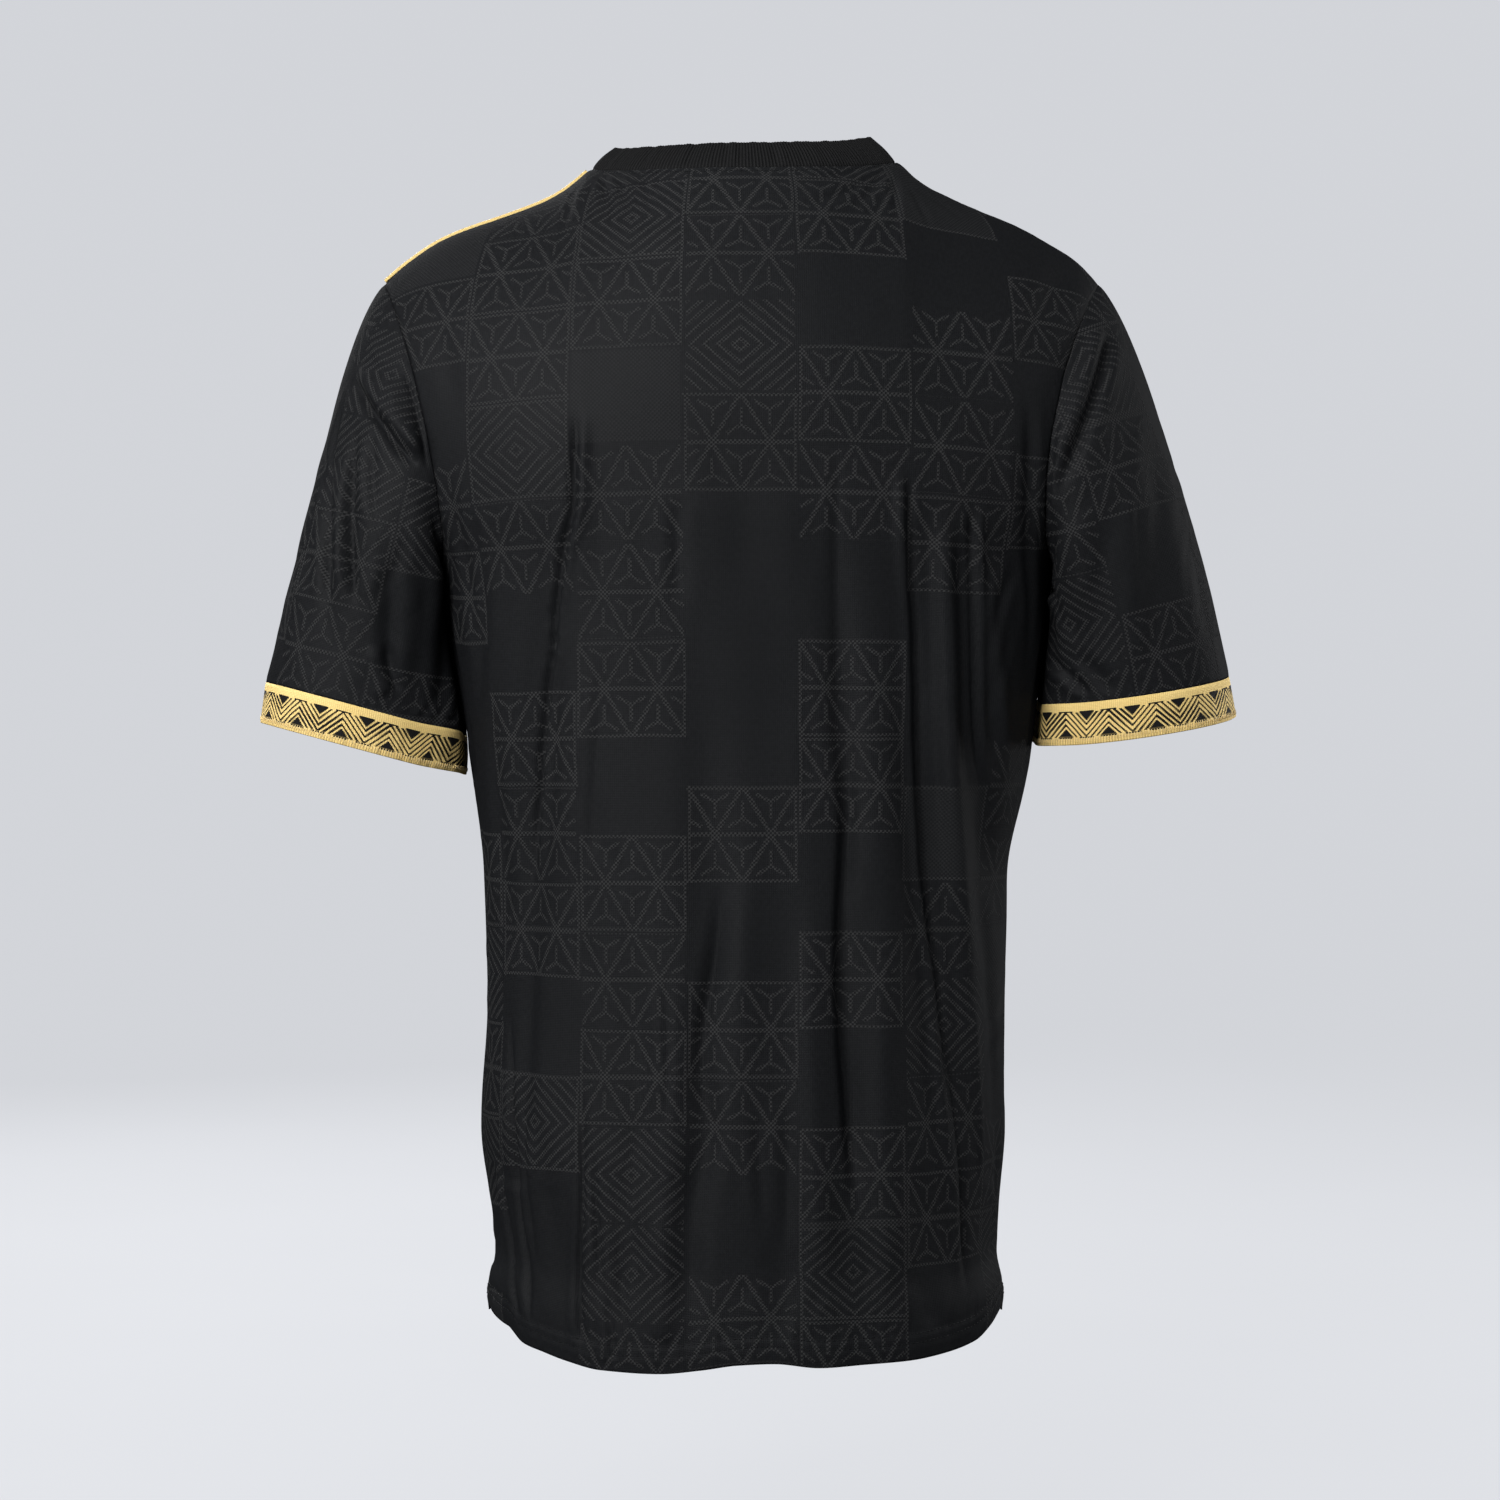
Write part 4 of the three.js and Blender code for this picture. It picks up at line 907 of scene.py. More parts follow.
b.crease([(44, -590), (40, -650), (44, -706)], 5.5, 1.4, "valley", "left", start=0.35, end=0.12)
b.crease([(24, -500), (20, -590), (25, -690)], 6, 1.2, "ridge", "left", start=0.4, end=0.2)
f.crease([(-31, -262), (-34, -350), (-42, -450)], 2.4, 1.9, "slit", "right", start=0.1, end=0.4, lip=0.4)
f.crease([(-44, -258), (-49, -350), (-56, -470), (-52, -580)], 6, 2.2, "valley", "right", start=0.15, end=0.35, skew=-0.3)
f.crease([(-74, -300), (-70, -400), (-76, -520)], 6.5, 1.7, "ridge", "right", start=0.3, end=0.4)
f.crease([(-34, -520), (-30, -610), (-36, -700)], 6.5, 1.9, "valley", "right", start=0.35, end=0.12)
f.crease([(-60, -706), (-64, -640), (-60, -580)], 2.4, 1.4, "slit", "right", start=0.12, end=0.4)
b.crease([(24, -262), (30, -340), (27, -430), (33, -520)], 5.5, 1.7, "valley", "right", start=0.12, end=0.4, skew=0.3)
b.crease([(40, -570), (36, -640), (41, -706)], 5.5, 1.5, "valley", "right", start=0.35, end=0.12)
b.crease([(22, -540), (20, -610), (24, -690)], 6, 1.1, "ridge", "right", start=0.4, end=0.2)

# ------------------------------------------------------------------ folds of the sleeves
s = sleeves["left"]
s.crease([(424, 470), (401, 449), (384, 428), (368, 406), (353, 374)], 3.2, 4.8, "slit", start=0.2, end=0.25, lip=0.5)
s.crease([(429, 474), (426, 454), (414, 400), (400, 360)], 2.6, 3.2, "slit", start=0.2, end=0.3, lip=0.4)
s.crease([(372, 362), (398, 410), (427, 458)], 5.0, 2.2, "ridge", start=0.3, end=0.3)
s.crease([(352, 376), (337, 430), (328, 516), (326, 577), (328, 618)], 2.6, 2.8, "slit", start=0.35, end=0.2, lip=0.15)
s.crease([(358, 424), (349, 516), (352, 577), (358, 612)], 2.6, 3.2, "slit", start=0.25, end=0.2, lip=0.4)
s.crease([(385, 640), (391, 668), (398, 696)], 3.2, 3.0, "slit", start=0.3, end=0.2, lip=0.4)
s.crease([(432, 537), (442, 572), (454, 617)], 3.4, 3.0, "slit", start=0.3, end=0.3, lip=0.35)
s.crease([(374, 424), (373, 480), (379, 540)], 3.0, 2.0, "slit", start=0.3, end=0.4, lip=0.4)
s.crease([(372, 318), (380, 360), (396, 400), (408, 440)], 5, 1.2, "ridge", start=0.3, end=0.4)
s.crease([(328, 425), (325, 500), (326, 570), (322, 645)], 5, 2.0, "valley", start=0.3, end=0.3)
s.crease([(352, 448), (353, 520), (352, 612)], 4.5, 1.7, "valley", start=0.3, end=0.3)
s.crease([(339, 450), (339, 540), (338, 620)], 5, 1.2, "ridge", start=0.3, end=0.3)
s.crease([(392, 555), (390, 610), (389, 645), (386, 690)], 5, 2.2, "valley", start=0.3, end=0.3)
s.crease([(412, 470), (415, 550), (412, 630), (404, 700)], 7, 1.8, "ridge", start=0.3, end=0.3)
s.crease([(432, 500), (440, 560), (444, 640), (440, 720)], 6, 2.6, "valley", start=0.2, end=0.15)
s.crease([(300, 470), (292, 560), (288, 640)], 7, 1.3, "valley", start=0.3, end=0.3)
s.crease([(372, 470), (374, 550), (368, 640)], 6, 1.3, "ridge", start=0.3, end=0.3)
for x, y in [(418, 712), (432, 714), (446, 717), (458, 720)]:
    s.crease([(x + 8, y - 14), (x, y), (x - 7, y + 10)], 2.6, 0.8, "ridge", lip=0.8, start=0.4, end=0.3)
s.crease([(225 + 30, -170), (240 + 20, -220), (255, -290)], 7, 1.6, "valley", "front", start=0.3, end=0.3)
s.crease([(210, -190), (216, -250), (218, -320)], 6, 2.0, "valley", "front", start=0.3, end=0.25)
s.crease([(236, -180), (240, -250), (244, -325)], 7, 1.4, "ridge", "front", start=0.3, end=0.3)
s.crease([(200, -210), (204, -270), (204, -325)], 5, 1.8, "valley", "front", start=0.3, end=0.25)
s.crease([(214, -205), (219, -262), (221, -318)], 2.4, 2.2, "slit", "front", start=0.25, end=0.2)
s.crease([(246, -215), (252, -270), (258, -318)], 2.4, 1.8, "slit", "front", start=0.3, end=0.2)
s.crease([(228, -130), (216, -170), (206, -214)], 2.6, 2.0, "slit", "front", start=0.25, end=0.3)
s.crease([(8, -130), (4, -200), (6, -280)], 9, 1.2, "valley", "left", start=0.35, end=0.4)
s.crease([(-24, -160), (-26, -230), (-22, -300)], 8, 1.2, "valley", "left", start=0.35, end=0.4)
s.crease([(30, -150), (28, -220), (32, -300)], 8, 1.0, "ridge", "left", start=0.35, end=0.4)
s = sleeves["right"]
s.crease([(1110, 330), (1094, 400), (1076, 450), (1054, 500)], 3.8, 3.8, "valley", start=0.15, end=0.3, lip=0.3, skew=0.6)
s.crease([(1060, 446), (1050, 470), (1043, 498), (1040, 520)][::-1], 2.2, 1.8, "slit", start=0.25, end=0.3, lip=0.4)
s.crease([(1099, 316), (1081, 385), (1058, 448), (1042, 506)], 4.6, 2.8, "ridge", start=0.2, end=0.3)
s.crease([(1048, 655), (1066, 672), (1092, 697)], 2.8, 2.6, "slit", start=0.3, end=0.2)
s.crease([(1038, 594), (1056, 606), (1072, 640)], 3.0, 2.4, "slit", start=0.3, end=0.3)
s.crease([(1134, 470), (1140, 560), (1137, 640)], 3.0, 0.9, "slit", start=0.4, end=0.4)
s.crease([(1118, 330), (1110, 395), (1096, 450), (1078, 505)], 7, 1.3, "ridge", start=0.2, end=0.4)
s.crease([(1050, 500), (1050, 570), (1052, 640), (1056, 690)], 6, 2.4, "valley", start=0.2, end=0.2)
s.crease([(1085, 500), (1078, 570), (1080, 640)], 8, 1.4, "ridge", start=0.3, end=0.4)
s.crease([(1110, 470), (1104, 560), (1108, 660)], 8, 1.5, "valley", start=0.35, end=0.3)
s.crease([(1150, 430), (1158, 530), (1160, 640)], 9, 1.2, "valley", start=0.35, end=0.35)
s.crease([(1136, 560), (1138, 620), (1132, 690)], 7, 1.1, "ridge", start=0.3, end=0.3)
s.crease([(1066, 650), (1090, 668), (1120, 700)], 5, 1.1, "valley", start=0.3, end=0.3)
s.crease([(1062, 620), (1074, 650), (1086, 690)], 4.5, 1.0, "ridge", start=0.3, end=0.3)
s.crease([(1190, 520), (1202, 600), (1212, 660)], 7, 1.0, "valley", start=0.35, end=0.35)
s.crease([(-255, -170), (-262, -230), (-268, -300)], 7, 1.5, "valley", "front", start=0.3, end=0.3)
s.crease([(-212, -190), (-216, -250), (-216, -310)], 6, 2.0, "valley", "front", start=0.3, end=0.25)
s.crease([(-236, -180), (-240, -245), (-242, -315)], 7, 1.4, "ridge", "front", start=0.3, end=0.3)
s.crease([(-218, -310), (-220, -262), (-214, -205)], 2.4, 2.2, "slit", "front", start=0.2, end=0.25)
s.crease([(-262, -310), (-258, -262), (-248, -212)], 2.4, 1.8, "slit", "front", start=0.2, end=0.3)
s.crease([(-208, -210), (-218, -168), (-230, -130)], 2.6, 2.0, "slit", "front", start=0.3, end=0.25)
s.crease([(8, -130), (4, -200), (6, -270)], 9, 1.2, "valley", "right", start=0.35, end=0.4)
s.crease([(-26, -160), (-24, -225), (-28, -295)], 8, 1.2, "valley", "right", start=0.35, end=0.4)
s.crease([(32, -150), (30, -215), (28, -290)], 8, 1.0, "ridge", "right", start=0.35, end=0.4)
sleeves["left"].scatter(31, 22, (280, 400, 450, 690), "px", (35, 110), (3, 6), (0.15, 0.5), (88, 14))
sleeves["right"].scatter(32, 22, (1050, 420, 1215, 660), "px", (35, 110), (3, 6), (0.15, 0.5), (92, 14))
sleeves["left"].scatter(33, 16, (195, -320, 285, -150), "front", (25, 70), (3, 6), (0.15, 0.5), (90, 14))
sleeves["right"].scatter(34, 16, (-290, -310, -195, -150), "front", (25, 70), (3, 6), (0.15, 0.5), (90, 14))
sleeves["left"].scatter(35, 8, (-40, -300, 40, -120), "left", (25, 70), (3, 6), (0.15, 0.4), (90, 14))
sleeves["right"].scatter(36, 8, (-40, -290, 40, -120), "right", (25, 70), (3, 6), (0.15, 0.4), (90, 14))

# ------------------------------------------------------------------ seams
def arc(p, axis):
    step = np.linalg.norm(np.diff(p, axis=axis), axis=-1)
    zero = np.zeros_like(np.take(step, [0], axis))
    return np.concatenate([zero, np.cumsum(step, axis)], axis)


def ripple(seed, s):
    """An uneven ripple along a line of length s, between about -1 and 1."""
    rng = np.random.default_rng(seed)
    total = np.zeros_like(s)
    for wave in (7.5, 11.0, 16.0, 27.0):
        total += rng.uniform(0.5, 1) * np.sin(2 * np.pi * s / (wave * rng.uniform(0.9, 1.1)) + rng.uniform(0, 6.28))
    return total / 2.2


SINK = 0.75  # how deep a seam lies under the cloth beside it
# the lower edge of the back, in the picture
HEM_SEEN = np.array(
    [
        [485, 1303],
        [499, 1315],
        [510, 1329],
        [522, 1343],
        [542, 1352],
        [565, 1361],
        [600, 1370.5],
        [660, 1374.5],
        [700, 1371],
        [738, 1366],
        [775, 1364.5],
        [819, 1368.5],
        [866, 1365],
        [910, 1361],
        [941, 1354.5],
        [976, 1341],
        [992, 1325],
        [1003, 1306],
    ]
)
for side, piece in panels.items():
    p = piece.base
    along = arc(p, 0)  # from the hem up
    from_hem = along
    from_top = along[-1:] - along
    across = arc(p, 1)
    from_left, from_right = across, across[:, -1:] - across
    edge = np.minimum(from_left, from_right)
    # creases die out at the seams, and the cloth draws in there
    piece.quiet = smooth(edge / 7 + 0.12) * smooth(from_top / 7 + 0.12)
    draw = 1.1 * np.exp(-edge / 2.6) + 0.8 * np.exp(-from_top / 2.4)
    pucker = 0.3 * np.exp(-edge / 7) * ripple(41, along) + 0.26 * np.exp(-from_top / 8) * ripple(43, across)
    piece.lift += (pucker * smooth(edge / 3) * smooth(from_top / 3) - 0.55 * draw) / np.maximum(piece.quiet, 0.12)
    # slow unevenness of the whole cloth
    x, z = p[..., 0], p[..., 2]
    sway = (
        np.sin(x / 31 + z / 210 + (1 if side == "back" else 2.2))
        * np.sin(z / 67 + x / 140)
        + 0.6 * np.sin(x / 17 - z / 150 + 1.7) * np.sin(z / 95 + 0.4)
    )
    piece.lift += 0.55 * sway * smooth(edge / 40)
    # the hem is folded up double, and pulled in by its stitches
    fold = smooth((17.2 - from_hem) / 1.6)
    piece.lift += 0.5 * fold - 0.55 * np.exp(-(((from_hem - 15.6) / 1.3) ** 2)) - 0.3 * np.exp(-(((from_hem - 10.2) / 1.3) ** 2))
    piece.lift += 0.35 * np.exp(-(((from_hem - 17) / 10) ** 2)) * ripple(45, across)
    piece.apply()
    # the hem's own edge is gently wavy
    s = across / across[:, -1:]
    if side == "back":
        shown = seen_at(piece.p[0])
        lower = read(HEM_SEEN[:, 0], HEM_SEEN[:, 1], shown[:, 0]) - shown[:, 1]
        rise = -lower * (EYE[1] - piece.p[0, :, 1]) / FOCAL
        wave = np.clip(rise, -9, 9)[None, :] * smooth(1 - from_hem / 90) * smooth(edge[0] / 30)
    else:
        wave = (1.5 * np.sin(s * 19 + 0.4) + 1.0 * np.sin(s * 41 + 1.1)) * smooth(1 - from_hem / 60) * smooth(edge / 50)
    piece.p[..., 2] += wave
    # the wearer's right side is drawn in a little at the waist
    pull = 3.0 * np.exp(-(((z + 424) / 30) ** 2)) * smooth(1 - from_right / 50)
    piece.p[..., 0] += pull
    curl = smooth(1 - from_hem / 9) * 0.8
    piece.p -= piece.n * curl[..., None]

for name, piece in sleeves.items():
    along = arc(piece.base, 0)
    from_cap, from_band = along, along[-1:] - along
    ring = np.concatenate([piece.base[:1], piece.base[:1, :1]], 1)
    around = arc(ring, 1)[:, :-1]
    draw = 1.1 * np.exp(-from_cap / 2.6) + 0.9 * np.exp(-from_band / 2.2)
    piece.quiet = smooth(from_cap / 8 + 0.12) * smooth(from_band / 8 + 0.15)
    pucker = 0.42 * np.exp(-from_cap / 9) * ripple(47, around) + 0.3 * np.exp(-from_band / 7) * ripple(49, around)
    piece.lift += (pucker * smooth(from_cap / 3) * smooth(from_band / 3) - 0.55 * draw) / np.maximum(piece.quiet, 0.12)
    a = angles[name][None, :]
    z = piece.base[..., 2]
    sway = np.sin(a * 3 + z / 60) * np.sin(z / 43 + a) + 0.5 * np.sin(a * 7 + z / 90)
    piece.lift += 0.5 * sway * smooth(from_cap / 40) * smooth(from_band / 30)
    piece.apply()
    # the underarm seam: a shallow groove where the tube is closed
    k = np.minimum(np.arange(piece.shape[1]), piece.shape[1] - np.arange(piece.shape[1]))
    piece.p -= piece.n * (0.7 * np.exp(-((k / 1.1) ** 2)))[None, :, None]


# neighbours share their seam: the mean of both edges, sunk a little
def join(edges, sink=SINK):
    """edges is a list of (piece, j, i) that are one point."""
    p = np.mean([q.p[j, i] for q, j, i in edges], 0)
    n = unit(np.sum([q.n[j, i] for q, j, i in edges], 0))
    for q, j, i in edges:
        q.p[j, i] = p - n * sink * 0.5


last = len(II) - 1
for i in (0, last):
    for j in range(N_LOW):
        join([(back, j, i), (front, j, i)])
on_shoulder = np.where((II <= ON_SHOULDER) | (II >= ON_SHOULDER + ON_NECK))[0]
for i in on_shoulder:
    if i not in (0, last):
        join([(back, N_TOP, i), (front, N_TOP, i)])
for name in ("left", "right"):
    i = 0 if name == "left" else last
    half = N_TOP - N_LOW
    for k, (piece, j, _) in enumerate(arm_ring(name)):
        edges = [(piece, j, i), (sleeves[name], 0, k)]
        if k in (0, half):
            edges.append((back if piece is front else front, j, i))
        join(edges)


# ------------------------------------------------------------------ meshes
def link(name, verts, faces, uv_faces=None, uv=None, flat_faces=None):
    mesh = bpy.data.meshes.new(name)
    mesh.from_pydata((np.asarray(verts) / 1000).tolist(), [], faces)
    mesh.update()
    smooth_flags = np.ones(len(mesh.polygons), bool)
    if flat_faces is not None:
        smooth_flags[flat_faces:] = False
    mesh.polygons.foreach_set("use_smooth", smooth_flags)
    if uv is not None:
        layer = mesh.uv_layers.new(name="Cut")
        index = np.fromiter((k for face in uv_faces for k in face), int)
        layer.uv.foreach_set("vector", (uv.reshape(-1, 2)[index] / 1000).astype(np.float32).ravel())
    obj = bpy.data.objects.new(name, mesh)
    scene.collection.objects.link(obj)
    return obj


def shell(name, outer, normals, thickness, wrap, uv):
    """A closed thin wall: the outer skin as given, and an inner skin with half as many points each way."""
    nj, ni = outer.shape[:2]
    inner = outer[::2, ::2] - normals[::2, ::2] * thickness
    mj, mi = inner.shape[:2]
    verts = np.concatenate([outer.reshape(-1, 3), inner.reshape(-1, 3)])
    first = nj * ni
    cols, ccols = (ni, mi) if wrap else (ni - 1, mi - 1)
    uni = ni + 1 if wrap else ni

    def o(j, i):
        return j * ni + i % ni, j * uni + i

    def c(j, i):
        return first + j * mi + i % mi, 2 * j * uni + 2 * i

    corners = []
    for j in range(nj - 1):
        for i in range(cols):
            corners.append((o(j, i), o(j, i + 1), o(j + 1, i + 1), o(j + 1, i)))
    for j in range(mj - 1):
        for i in range(ccols):
            corners.append((c(j, i), c(j + 1, i), c(j + 1, i + 1), c(j, i + 1)))
    rim_from = len(corners)

    def rim(a, m, b2, ca, cb, flip):
        tris = [(m, a, ca), (m, ca, cb), (b2, m, cb)]
        if flip:
            tris = [t[::-1] for t in tris]
        corners.extend(tris)

    for i in range(ccols):
        rim(o(0, 2 * i), o(0, 2 * i + 1), o(0, 2 * i + 2), c(0, i), c(0, i + 1), False)
        j = nj - 1
        rim(o(j, 2 * i), o(j, 2 * i + 1), o(j, 2 * i + 2), c(mj - 1, i), c(mj - 1, i + 1), True)
    if not wrap:
        for j in range(mj - 1):
            rim(o(2 * j, 0), o(2 * j + 1, 0), o(2 * j + 2, 0), c(j, 0), c(j + 1, 0), True)
            rim(o(2 * j, ni - 1), o(2 * j + 1, ni - 1), o(2 * j + 2, ni - 1), c(j, mi - 1), c(j + 1, mi - 1), False)
    n0 = np.cross(outer[0, 1] - outer[0, 0], outer[1, 0] - outer[0, 0])
    mid = (nj // 2, ni // 4)
    n0 = np.cross(outer[mid[0], mid[1] + 1] - outer[mid], outer[mid[0] + 1, mid[1]] - outer[mid])
    if (n0 * normals[mid]).sum() < 0:
        corners = [t[::-1] for t in corners]
    faces = [[v for v, _ in t] for t in corners]
    uv_faces = [[k for _, k in t] for t in corners]
    return link(name, verts, faces, uv_faces, uv, rim_from)


def loft(name, rings, uv, closed_profile=True, outward=None):
    """Rings of points, each closed, joined one to the next and the last to the first: a closed tube wall."""
    nr, ni = rings.shape[:2]
    faces, uv_faces = [], []
    for j in range(nr if closed_profile else nr - 1):
        j2 = (j + 1) % nr
        for i in range(ni):
            i2 = (i + 1) % ni
            faces.append([j * ni + i, j * ni + i2, j2 * ni + i2, j2 * ni + i])
            uv_faces.append([j * (ni + 1) + i, j * (ni + 1) + i + 1, (j + 1) * (ni + 1) + i + 1, (j + 1) * (ni + 1) + i])
    v = rings.reshape(-1, 3)
    q = np.array(faces)
    a, b_, c, d = v[q[:, 0]], v[q[:, 1]], v[q[:, 2]], v[q[:, 3]]
    volume = (a * np.cross(b_, c)).sum() + (a * np.cross(c, d)).sum()
    if volume < 0:
        faces = [t[::-1] for t in faces]
        uv_faces = [t[::-1] for t in uv_faces]
    return link(name, v, faces, uv_faces, uv)


def band_profile(outer, n, thickness, round_end=True, steps=4, inner_rows=4):
    """Rings of a wall from its outer rows: out along them, round the far edge and back inside."""
    rings = [outer[k] for k in range(len(outer))]
    along = unit(outer[-1] - outer[-2])
    half = thickness / 2
    centre = outer[-1] - n[-1] * half
    uvs = [0.0]
    if round_end:
        for k in range(1, steps + 1):
            a = np.pi * k / (steps + 1)
            rings.append(centre + half * (math.cos(a) * n[-1] + math.sin(a) * along))
    pick = np.linspace(len(outer) - 1, 0, inner_rows).round().astype(int)
    for k in pick:
        rings.append(outer[k] - n[k] * thickness)
    return np.array(rings)


def ring_uv(rings, across=None):
    """Across: along each ring. Along: from ring to ring, from the first."""
    closed = np.concatenate([rings, rings[:, :1]], 1)
    u = arc(closed, 1) if across is None else np.broadcast_to(across, closed.shape[:2])
    v = arc(closed, 0)
    v = np.concatenate([v, v[-1:] + 1.0])
    u = np.concatenate([u, u[-1:]])
    return np.stack([u, v], -1)


FLAT = {}
objects = {}
for side, piece in panels.items():
    n = surface_normals(piece.p)
    if piece.turned:
        n = -n
    piece.shade = n
    guess = flatten(piece.base, piece.n, np.array([0, 0, 1.0]), last // 2)
    pick = np.r_[0, np.linspace(14, N_LOW, 13), np.linspace(N_LOW, N_TOP, 14)[1:]].round().astype(int)
    uv = cut_map(piece.base, guess, pick, np.linspace(0, last, 41).round().astype(int), JJ, II)
    piece.uv = uv
    objects[side] = shell(side + "_cloth", piece.p, n, KNIT, False, uv)
for name, piece in sleeves.items():
    n = surface_normals(piece.p, True)
    if piece.turned:
        n = -n
    piece.shade = n
    sign = 1 if name == "left" else -1
    axis = unit(np.array([-sign * 0.3, 0, 1.0]))
    half = N_TOP - N_LOW
    guess = flatten(piece.base, piece.n, axis, half, wrap=True)
    closed = np.concatenate([piece.base, piece.base[:, :1]], 1)
    steps = np.arange(closed.shape[1])
    pick = np.linspace(0, len(TT) - 1, 19).round().astype(int)
    uv = cut_map(closed, guess, pick, np.linspace(0, steps[-1], 35).round().astype(int), TT, steps.astype(float))
    piece.uv = uv
    objects["sleeve_" + name] = shell("sleeve_cloth_" + name, piece.p, n, KNIT, True, uv)

# sleeve bands
bands = {}
for name, piece in sleeves.items():
    a = angles[name]
    tt = np.linspace(0, 1 - TRIM / 2 / CUFF, 13)
    flare = SLEEVES[name]["flare"]
    a2 = np.interp(np.arange(0, len(a), 0.5), np.arange(len(a) + 1), np.r_[a, a[0] + 2 * np.pi])
    rows = np.array([sleeve_end(name, a2, t * CUFF, t * flare) for t in tt])
    rows = press(name, rows, a2[None, :], np.ones((len(tt), 1)))
    inside = np.array([SLEEVES[name]["x"], 2, -345])
    n = surface_normals(rows, True)
    if (n * (rows - inside)).sum() < 0:
        n = -n
    # first row: the seam itself, as the sleeve has it
    top = piece.p[-1]
    top2 = np.empty_like(rows[0])
    top2[::2] = top
    top2[1::2] = (top + np.roll(top, -1, 0)) / 2
    rows[0] = top2
    # a slight wave of the free edge
    s = arc(np.concatenate([rows[:1], rows[:1, :1]], 1), 1)[0, :-1]
    w = np.linspace(0, 1, len(rows))[:, None]
    rows += n * ((0.35 * ripple(51, s) * w)[..., None])
    rings = band_profile(rows, n, TRIM)
    closed = np.concatenate([rows[:1], rows[:1, :1]], 1)
    # the pattern repeats a whole number of times round the band
    full = arc(closed, 1)[0, -1]
    repeats = round(full / 29.0)
    across = arc(closed, 1)[0] * (repeats * 29.0 / full)
    uv = ring_uv(rings, across)
    bands[name] = dict(rows=rows, n=n, full=full)
    objects["band_" + name] = loft("sleeve_band_cloth_" + name, rings, uv)

# neckband: fine ribs along its width
on_neck = np.where((II >= ON_SHOULDER) & (II <= ON_SHOULDER + ON_NECK))[0]
seam = [(back, N_TOP, i) for i in on_neck] + [(front, N_TOP, i) for i in on_neck[::-1][1:-1]]
# the panels' neck edges aren't on even columns, so the ring is made again from the neck's own corners
RIBS = 288
NECK_STEPS = 4 * RIBS
base_ring = np.array([q.base[j, i] for q, j, i in seam])
true_back = panel_grid("back", np.linspace(ON_SHOULDER, ON_SHOULDER + ON_NECK, 161), np.array([float(ROWS)]))[0]
true_front = panel_grid("front", np.linspace(ON_SHOULDER, ON_SHOULDER + ON_NECK, 161), np.array([float(ROWS)]))[0]
corner_l, corner_r = true_back[0].copy(), true_back[-1].copy()
ring = np.concatenate([true_back, true_front[::-1][1:-1]])
s = np.r_[0, np.cumsum(np.linalg.norm(np.diff(np.concatenate([ring, ring[:1]]), axis=0), axis=1))]
t = np.linspace(0, s[-1], NECK_STEPS + 1)[:-1]
ring = np.stack([np.interp(t, s, np.r_[ring[:, c], ring[0, c]]) for c in range(3)], -1)
neck_length = s[-1]
turn = (np.degrees(np.arctan2(ring[:, 1] + 6, ring[:, 0])) + 360) % 360
lean, stand = read(BAND[:, 0], BAND[:, 1], turn), read(BAND[:, 0], BAND[:, 2], turn)
r = np.hypot(ring[:, 0], ring[:, 1] + 6)
width = np.hypot(lean, stand)
rows = []
for t in np.linspace(0, 1, 17):
    bow = np.sin(np.pi * t) * 1.2
    q = ring.copy()
    q[:, 0] -= ring[:, 0] / r * (lean * t - bow)
    q[:, 1] -= (ring[:, 1] + 6) / r * (lean * t - bow)
    q[:, 2] += stand * t
    rows.append(q)
rows = np.array(rows)
n = surface_normals(rows, True)
if (n[..., 2]).sum() < 0:
    n = -n
if (n * (rows - np.array([0, -6, -60]))).sum() < 0:
    n = -n
up = np.linspace(0, 1, 17)[:, None]
ring_s = np.linspace(0, neck_length, NECK_STEPS + 1)[:-1][None, :]
soft = 0.5 * ripple(61, ring_s) * np.sin(np.pi * up) ** 0.6 + 0.35 * ripple(62, ring_s + 40) * up
# 1x1 rib: every other wale stands proud
wales = 0.17 * np.sin(2 * np.pi * RIBS * ring_s / neck_length) * np.minimum(1, up * 6)
rows = rows + n * (soft + wales)[..., None]
rows[0] -= n[0] * 0.5
rows[1] -= n[1] * 0.1
trimmed = rows.copy()
trimmed[-1] = rows[-1] - unit(rows[-1] - rows[-2]) * RIB / 2
neck_rings = band_profile(trimmed, n, RIB, steps=5, inner_rows=6)
neck_uv = ring_uv(neck_rings, np.linspace(0, neck_length, NECK_STEPS + 1))
objects["neckband"] = loft("neckband_rib", neck_rings, neck_uv)
neck = dict(rows=rows, n=n)


